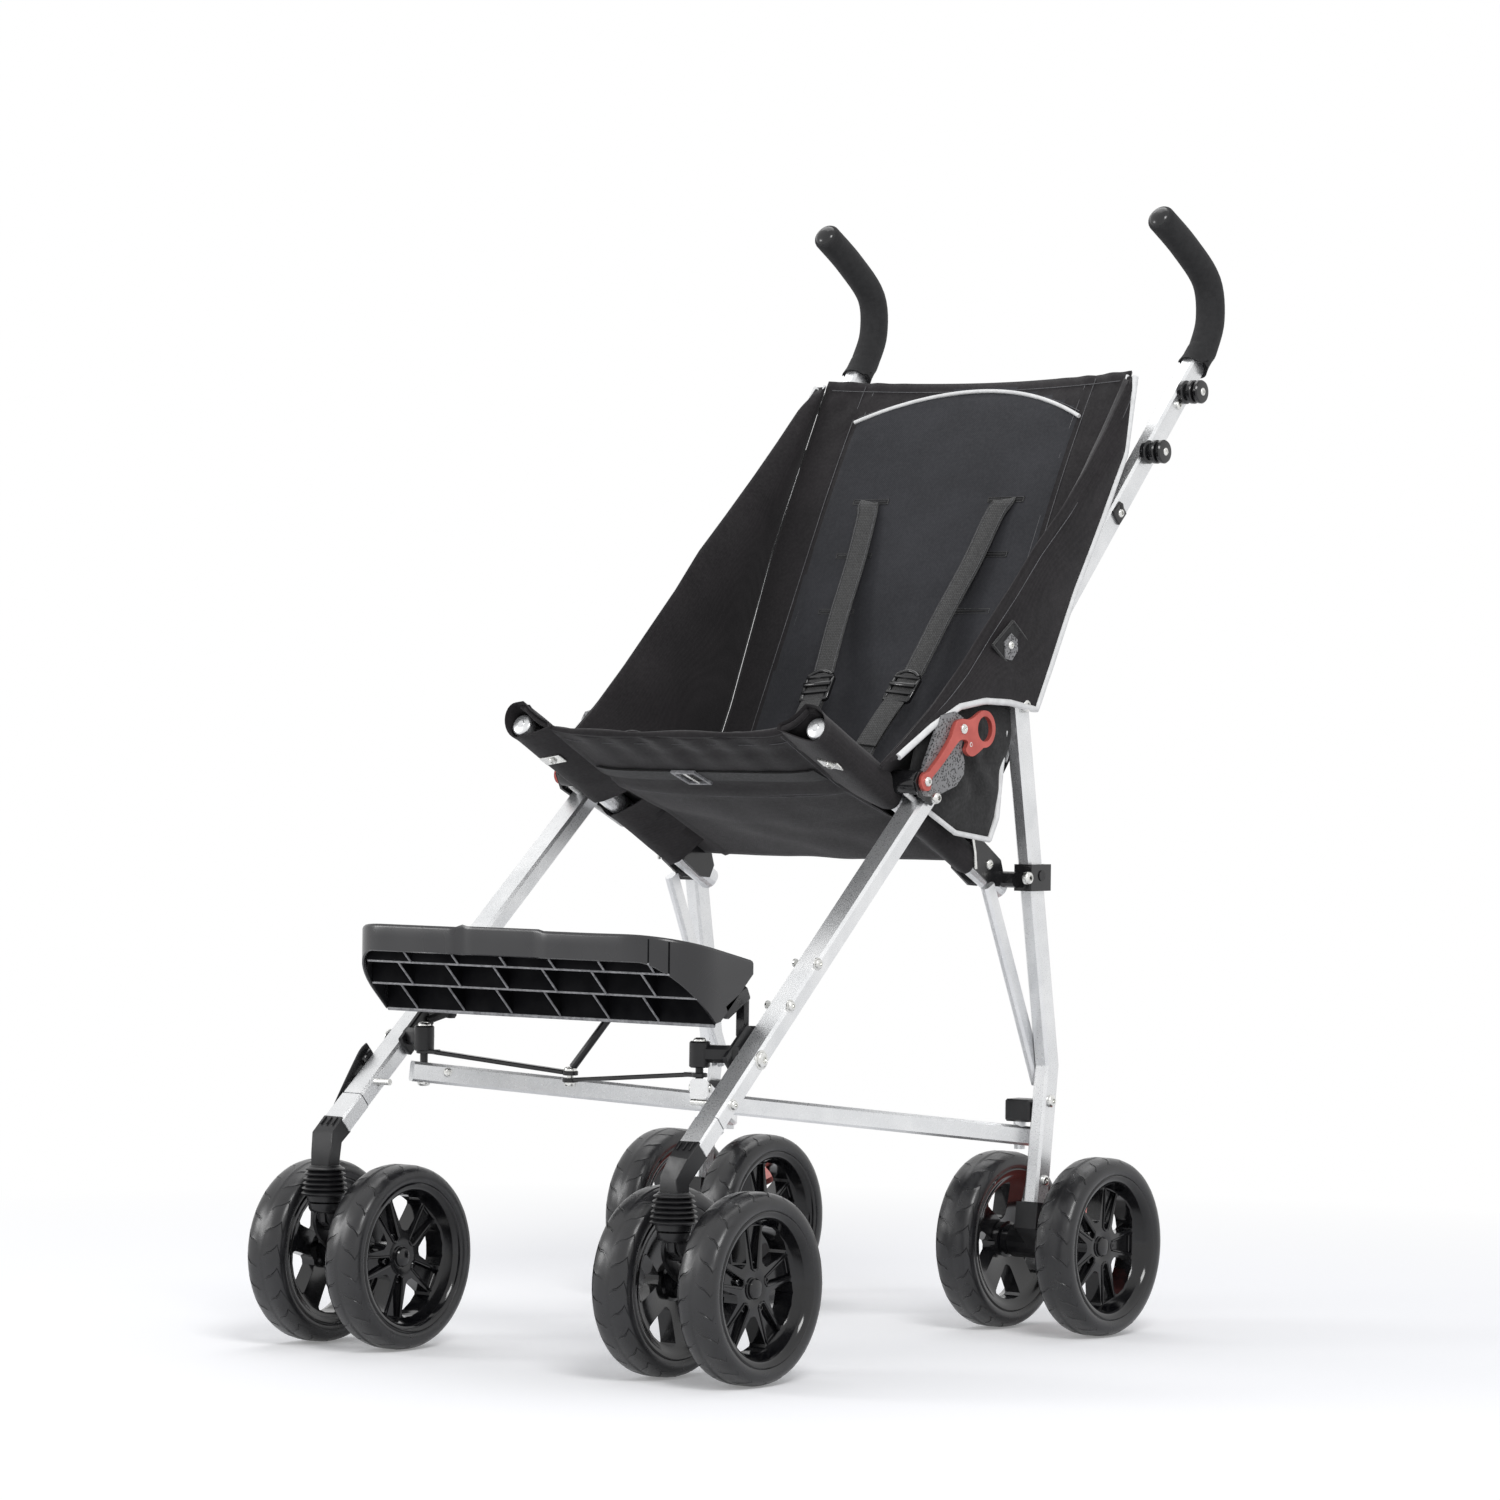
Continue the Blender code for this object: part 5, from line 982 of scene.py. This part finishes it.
def side_panels(side, s):
    def panel_cloth(t, v):
        a = on_path(FRONT_EDGE, t)
        p = a.lerp(on_path(REAR_EDGE, t), v)
        full = sin(pi * v) * min(1, 3 * (1 - t)) * min(1, 6 * t)
        x = p.x + full * (3 + 2.4 * ripple(0, p.y, p.z, 8, 4 + s) + 1.1 * sin(26 * t + 5 * v))
        x += 1.8 * sin(0.042 * (p.y - p.z)) * bell(v - 0.15, 0.25) * min(1, 4 * (1 - t))
        x -= bell(hypot((p - a).y, (p - a).z) - 10, 1.6)
        return s * x, p.y, p.z

    def lining_cloth(t, v):
        a, z = on_path(FRONT_EDGE, t), mix(948, 484, t)
        b = Vector((back_half(z) - 0.8, back_y(z) - 5.6, z))
        p = b.lerp(a, v)
        full = sin(pi * v) * sin(pi * min(1, t * 1.05))
        x = mix(b.x, a.x - 1.2, v ** 3)
        x -= full * (2 + 2.6 * ripple(0, p.y, p.z, 7, 2.5 + s) + 1.2 * sin(0.034 * p.y + 0.02 * p.z))
        return s * x, p.y, p.z

    def pocket_cloth(t, v):
        a = on_path([(206, *p) for p in top], t)
        b = on_path([(202, *p) for p in bottom[:4]] + [(200.5, *p) for p in bottom[4:]], t ** 1.15)
        p = a.lerp(b, v)
        wave = sin(0.07 * p.y + 0.03 * p.z + 4 * ripple(0, p.y, p.z, 22, 6))
        x = p.x + sin(pi * v) * (2.4 + 1.6 * wave + 1.2 * ripple(0, p.y, p.z, 60, 9))
        return s * x, p.y, p.z

    body = side + "_frame"
    grid = field(72, 26, panel_cloth)
    panel = Shape().cloth(grid, 3).object("panel_" + side, "fabric", body, replaces="side_panel_" + side)

    # the cloth turns in to the back's edge above the tube's crossing
    rows = []
    for b in (on_path(REAR_EDGE, t) for t in np.linspace(0, 0.3, 22)):
        half, y = back_half(b.z), back_y(b.z)
        row = [(b.x, b.y), (b.x - 3.5, b.y + 3.5), (mix(b.x, half, 0.6), mix(b.y, y - 6, 0.72)), (half - 0.5, y - 5)]
        rows.append([(s * x, y, b.z) for x, y in row])
    turn_in = Shape().cloth(rows, 2.6).object("panel_return_" + side, "fabric", body)

    rim = [on_path(REAR_EDGE, t) for t in np.linspace(0, 1, 110)]
    rolled = Shape().tube([(s * (b.x + 0.6), b.y, b.z) for b in rim], 3.3)
    rolled = rolled.object("panel_piping_" + side, "piping", body)
    path = []
    for t in np.linspace(0.02, 0.98, 100):
        a, b = on_path(FRONT_EDGE, t), on_path(REAR_EDGE, t)
        p = a + (b - a).normalized() * 10
        path.append((s * (p.x + 1.2), p.y, p.z))
    stitch = Shape().tube(path, 0.45, 6).object("panel_stitching_" + side, "thread", body)

    # the lining closes the seat's side, from the back's edge to the panel's front edge
    rows = field(60, 30, lining_cloth)
    lining = Shape().cloth(rows, 2.2).object("panel_lining_" + side, "fabric", body)

    # lozenge window with its tab and screw
    near = min((p for row in grid for p in row), key=lambda p: hypot(p[1] - 88, p[2] - 673.5))
    x = abs(near[0]) + 1.4
    lozenge = [(89.7, 696.7), (116.5, 676.9), (90.9, 649), (55.8, 672.7)]
    window = Shape().slab(lozenge, s * (x - 1.2), s * (x + 0.6), s * 0.4)
    ring = [Vector((s * (x + 0.8), *p)) for p in lozenge]
    for a, b in zip(ring, ring[1:] + ring[:1]):
        window.tube([a.lerp(b, t) for t in (0, 0.33, 0.66, 1)], 1.3, 8, 1)
    tab = [(76.5, 660), (87, 658), (97.5, 668), (96.5, 679), (86, 685), (74.5, 676)]
    window.slab(tab, s * (x + 0.4), s * (x + 2.2), s * 0.4, 2)
    window.bolt((s * (x + 2.2), 84, 673), (s, 0, 0), 4.2, 2.6, 3)
    window.object("panel_window_" + side, "lining webbing plate nickel", body, 40)

    # pocket behind the latch
    top = [(-60, 572), (-30, 596), (1, 608.5), (39, 615), (80, 614), (112, 606)]
    bottom = [(-70, 530), (-42.9, 516.7), (12.6, 491.6), (70.4, 484.3), (83, 505.6), (89, 550.1)]
    rows = field(40, 24, pocket_cloth)
    pocket = Shape().cloth(rows, 1.8).object("latch_pocket_" + side, "lining", body, 70)
    edge = Shape().tube([(s * 204, *p) for p in bottom[:4]], 2.7, 10)
    edge.tube([(s * 203.5, *p) for p in bottom[3:] + [(96, 590)]], 2.9, 10)
    edge = edge.object("pocket_piping_" + side, "piping", body)


def straps(side, s):
    lead = back_point(s * 84, 822.5, -2.5)
    path = [lead, lead + Vector((0, -4.5, -3)), (s * 79, lead.y - 14, 806), (s * 71.5, lead.y - 48, 752)]
    path += [(s * 58, 159, 662), (s * 52, 137, 628), (s * 46.5, 108, 596), (s * 40, 76, 554)]
    path = smooth_path(path + [(s * 34, 44, seat_height(34, 44) + 2.2)], 5)
    path = [p + Vector((0.6 * sin(0.06 * p.z), 0, 0)) for p in path]
    shares = ((-1, -0.4), (-0.96, -1), (0.96, -1), (1, -0.4), (1, 0.4), (0.9, 1))
    shares += ((0.84, 0.72), (0.78, 1), (-0.78, 1), (-0.84, 0.72), (-0.9, 1), (-1, 0.4))
    section, front = [(12.5 * a, 0.9 * b) for a, b in shares], (0, -0.9, 0.44)
    strap = Shape().sweep(path, section, facing=front)
    strap.sweep([p + Vector((s, -3, 1.2)) for p in path[22:34]], section, facing=front)
    strap.object("shoulder_strap_" + side, "webbing", ACROSS, replaces="harness_strap_" + side)

    stitch = Shape()
    for k in (-10.5, 10.5):
        stitch.tube([p + Vector((k, -1, 0.4)) for p in path[2:]], 0.35, 6)
    stitch.object("strap_stitching_" + side, "thread", ACROSS, slot="webbing")

    buckle, centre = Shape(), Vector((s * 52.2, 134.5, 629))
    down, face = Vector((s * -0.1, -0.6, -0.79)).normalized(), Vector((0, -0.8, 0.6))
    face = (face - down * face.dot(down)).normalized()
    right = down.cross(face).normalized()
    for a in (-15, 15):
        buckle.bar(centre + right * a - down * 15, centre + right * a + down * 13, 3.6, 5.2, face)
    for b, lift, high in ((-15, 1.2, 4.6), (-5, 2.6, 5), (4.5, 1.6, 4), (13, 0.4, 4)):
        middle = centre + down * b + face * lift
        buckle.bar(middle - right * 16, middle + right * 16, 4.4, high, face)
    lip = [centre + face * 2.2 + right * a - down * (22.5 - 6 * (a / 14) ** 2) for a in np.linspace(-14, 14, 9)]
    buckle.tube(lip, 2.2, 10).object("strap_buckle_" + side, "gloss", ACROSS)


# ---------- footrest, front lugs and spreader ----------
TRAY_FRONT, TRAY_BACK, TRAY_SKIRT, TRAY_RIM = (-404, 400.5), (-292.5, 377), (-408, 373), (-346, 318.5)


def tray_top(y):
    return mix(TRAY_FRONT[1], TRAY_BACK[1], between(TRAY_FRONT[0], TRAY_BACK[0], y))


def tray_low(y):
    """Height of the tray's lower edge, which falls from the front skirt to the back wall."""
    rise = 3.8
    if y < TRAY_RIM[0]:
        return rise + mix(TRAY_SKIRT[1], TRAY_RIM[1] - rise, max(0, between(TRAY_SKIRT[0], TRAY_RIM[0], y)))
    return mix(TRAY_RIM[1], 364, (y - TRAY_RIM[0]) / 52.5)


def tray_outline(inset):
    """Plan of the tray, with two rounded front corners, as (x, y) points."""
    left, right, front, back = 194 - inset, -204 + inset, -410.5 + inset, -293.5 - inset
    corner = 62 - inset
    small = corner * 0.75
    points = [(left, mix(back, front + corner, t)) for t in np.linspace(0, 1, 9)[:-1]]
    for a in np.linspace(0, pi / 2, 13):
        points.append((left - corner + corner * cos(a) ** 0.9, front + corner - corner * sin(a) ** 0.9))
    points += [(mix(left - corner, right + small, t), front) for t in np.linspace(0, 1, 42)[1:-1]]
    for a in np.linspace(pi / 2, 0, 13):
        points.append((right + small * (1 - cos(a)), front + small * (1 - sin(a))))
    return points + [(right, mix(front + small, back, t)) for t in np.linspace(0, 1, 9)[1:]]


def tray_step(x):
    """The skirt's face steps in and out along its length."""
    for end, step in ((-64, 0), (-56, -3), (33.7, -1.2)):
        if x < end:
            return step
    return 0.6


def footrest():
    inner, rows = tray_outline(3), []
    for (x, y), (u, v) in zip(tray_outline(0), inner):
        step = tray_step(x) * clamp((150 - x) / 60) if y < -400 else 0
        y -= step
        top, low = tray_top(y), tray_low(y)
        rows.append([
            (u, v, low + 0.6), (mix(u, x, 0.5), mix(v, y, 0.5), low - 0.6), (x, y, low + 0.3), (x, y, low + 1.6),
            (x, y, mix(low, top, 0.5)), (x, y, top - 3.2 - step), (mix(x, u, 0.2), mix(y, v, 0.2), top - 1.2 - step),
            (mix(x, u, 0.6), mix(y, v, 0.6), top - step), (u, v, top - 0.6), (u, v, mix(low, top, 0.5)),
        ])
    tray = Shape().grid(rows)
    tray.grid([[(x, y, tray_top(y) - depth) for x, y in inner] for depth in (0.6, 3.6)])
    # under the plate, a sheet in painted shade
    lid = tray_outline(3.4)
    tray.grid([[(x, y, tray_top(y) - depth) for x, y in lid] for depth in (3.9, 4.5)], 1)

    # back wall and the ribs below the plate, in painted shade, with thin light-grey tubes along their lower edges as
    # painted highlights
    wall = [(-347.5, 319), (-344.5, 319), (-344.5, tray_top(-344.5) - 3), (-347.5, tray_top(-347.5) - 3)]
    tray.slab(wall, -200, 190, 0.3, 1)
    tray.tube([(x, -346.2, 318.8) for x in np.linspace(-200, 190, 12)], 1.9, 10, 2)
    tray.slab([(-296.5, 364), (-293.5, 365), (-293.5, 376.4), (-296.5, 376.4)], -200, 190, 0.3)
    for y, reach in ((-395.5, 176), (-372, 190)):
        low, top = tray_low(y) + 1.2, tray_top(y) - 3
        tray.slab([(y - 0.7, low), (y + 0.7, low), (y + 0.7, top), (y - 0.7, top)], -reach - 8, reach, 0.2, 1)
        tray.tube([(x, y, low) for x in np.linspace(-reach - 8, reach, 12)], 1.1, 8, 2)
    for start, end, shift in ((-406, -395.5, 0.28), (-395.5, -372, 0), (-372, -346.5, -0.28)):
        a, b = tray_low(start) + 1.2, tray_low(end) + 1.2
        rib = [(start, a), (end, b), (end, tray_top(end) - 3), (start, tray_top(start) - 3)]
        for k in range(6):
            x = mix(-176, 172, (k + 0.5 + shift) / 6)
            tray.slab(rib, x - 0.7, x + 0.7, 0.2, 1)
            tray.tube([(x, mix(start, end, t), mix(a, b, t)) for t in (0, 0.5, 1)], 1, 8, 2)
    for x in np.linspace(-170, 166, 9):
        tray.slab([(-345, 330), (-295, 366), (-295, 374), (-345, 384)], x - 0.9, x + 0.9, 0.2)
    # treads on the plate
    for k, y in enumerate(np.linspace(-390, -306, 8)):
        reach, z = 150 if k < 2 else 176, tray_top(y) - 0.2
        for a, b in ((-reach, -84), (-66, 13), (25, reach)):
            tray.bar((a, y, z), (b, y, z), 3.6, 2.4)
    # the tray's own plastic, the painted shade of its underside and the painted highlights of its rib edges
    tray.object("tray", "tray shade edge", "footrest", 38, replaces="footrest")

    brackets = Shape().bar((190, -333, 330), (190, -299, 348), 15, 8, X)
    brackets.bar((184, -296, 342), (184, -296, 306), 12, 7, (0, 1, 0))
    brackets.bar((-190, -330, 329), (-186, -296, 342), 17, 8, X)
    brackets.tube([(-180, y, 338) for y in (-294, -276, -262)], 5, 18).object("tray_brackets", "gloss", "footrest")


def lugs(side, s):
    def at(x, y, z):
        return s * x, y, z

    inner, centre = leg_x(292) - 12.5, at(LUG_X, LUG_Y, 0)
    lug = Shape().lathe([(0, 279.2), (8.2, 279.2), (9.6, 280.4), (9.6, 302), (8.4, 303.4), (0, 303.6)], centre, Z)
    lug.bar(at(166, -333, 292), at(inner + 1, -318, 292), 17, 16)
    lug.bar(at(inner - 3, -330, 281), at(inner - 3, -296, 311), 22, 6, X)
    lug.lathe(pin(248, 280, 3.7), centre, Z, 20)
    lug.bar(at(inner - 3.5, -300, 306), at(185, -280, 313), 12, 8)
    if side == "right":
        lug.bar(at(185, -275.5, 308), at(181, -275.5, 344), 13, 12, (0, 1, 0))
        lug.lathe(pin(-286, -264, 10, 0.8, 2), at(180, 0, 338), (0, 1, 0), 28)
    else:
        lug.bar(at(184.5, -296, 301.5), at(184.5, -272, 301.5), 18, 6)
    lug.object("lug_" + side, "plastic", side + "_frame", replaces="front_lug_" + side)


def spreader_bolt():
    made = Shape().bolt((0, -318, 267.8), Z, 6.2, 3.6).lathe(pin(255, 266, 3), (0, -318, 0), Z, 18)
    made.bolt((0, -318, 256), (0, 0, -1), 5.6, 3.4).object("spreader_bolt", "nickel", "spreader_link_right")


def spreader(side, s):
    drop = 0 if side == "right" else 6.6
    start, end = Vector((s * LUG_X, LUG_Y, 279 - drop)), Vector((0, -318, 265.5 - drop))
    link = Shape().bar(start, start.lerp(end, 0.1) + Vector((0, 0, 1.3)), 10, 4.2)
    link.bar(start.lerp(end, 0.06) + Vector((0, 0, 0.8)), start.lerp(end, 0.96), 8.6, 4.2)
    for p in (start, end):
        link.lathe(pin(-2.1, 2.1, 7.4, 0.6, 0.7), p, Z, 28)
    link.object("link_" + side, "gloss", "spreader_link_" + side, replaces="spreader_link_" + side)
    bolts = Shape().bolt((s * LUG_X, LUG_Y, 250), (0, 0, -1), 6.2, 4).bolt((s * LUG_X, LUG_Y, 303), Z, 6.2, 3.6)
    bolts.object("lug_bolts_" + side, "nickel", side + "_frame")

    front, rear = Vector((s * LUG_X, LUG_Y, 259)), Vector((-s * 180, 165, 259))
    along = (rear - front).normalized()
    normal = Vector((-along.y, along.x, 0))
    place = front.lerp(rear, 0.035)
    screws = Shape().bolt(place + normal * 8, normal, 4.4, 2.6).bolt(place - normal * 8, -normal, 4.4, 2.6)
    screws.object("brace_screws_" + side, "nickel", "brace_" + side)


# ---------- everything ----------
def on_both_sides(*works):
    for work in works:
        for side, s in SIDES:
            work(side, s)


place_camera()
light_stage()
LOOKS = make_looks()
wheels()
on_both_sides(casters, grips, fittings, latch)
backrest()
seat()
on_both_sides(rail_sleeves, side_panels, straps)
footrest()
on_both_sides(lugs)
spreader_bolt()
on_both_sides(spreader)

CARRIED = {
    "handle_tube": "tube", "front_leg": "tube", "seat_rail": "tube", "rear_leg": "tube", "rear_strut": "tube",
    "brace": "tube",
    "rear_clamp": "gloss", "rear_lug": "plastic", "rear_axle": "plastic", "brake_pedal": "red",
    "hinge_plate": "plate",
    "footrest_stay": "plastic",
}
for node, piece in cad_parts.items():
    look = CARRIED.get(node.removesuffix("_left").removesuffix("_right"))
    if look and hasattr(piece, "data"):
        piece.data.materials.clear()
        piece.data.materials.append(LOOKS[look].material)
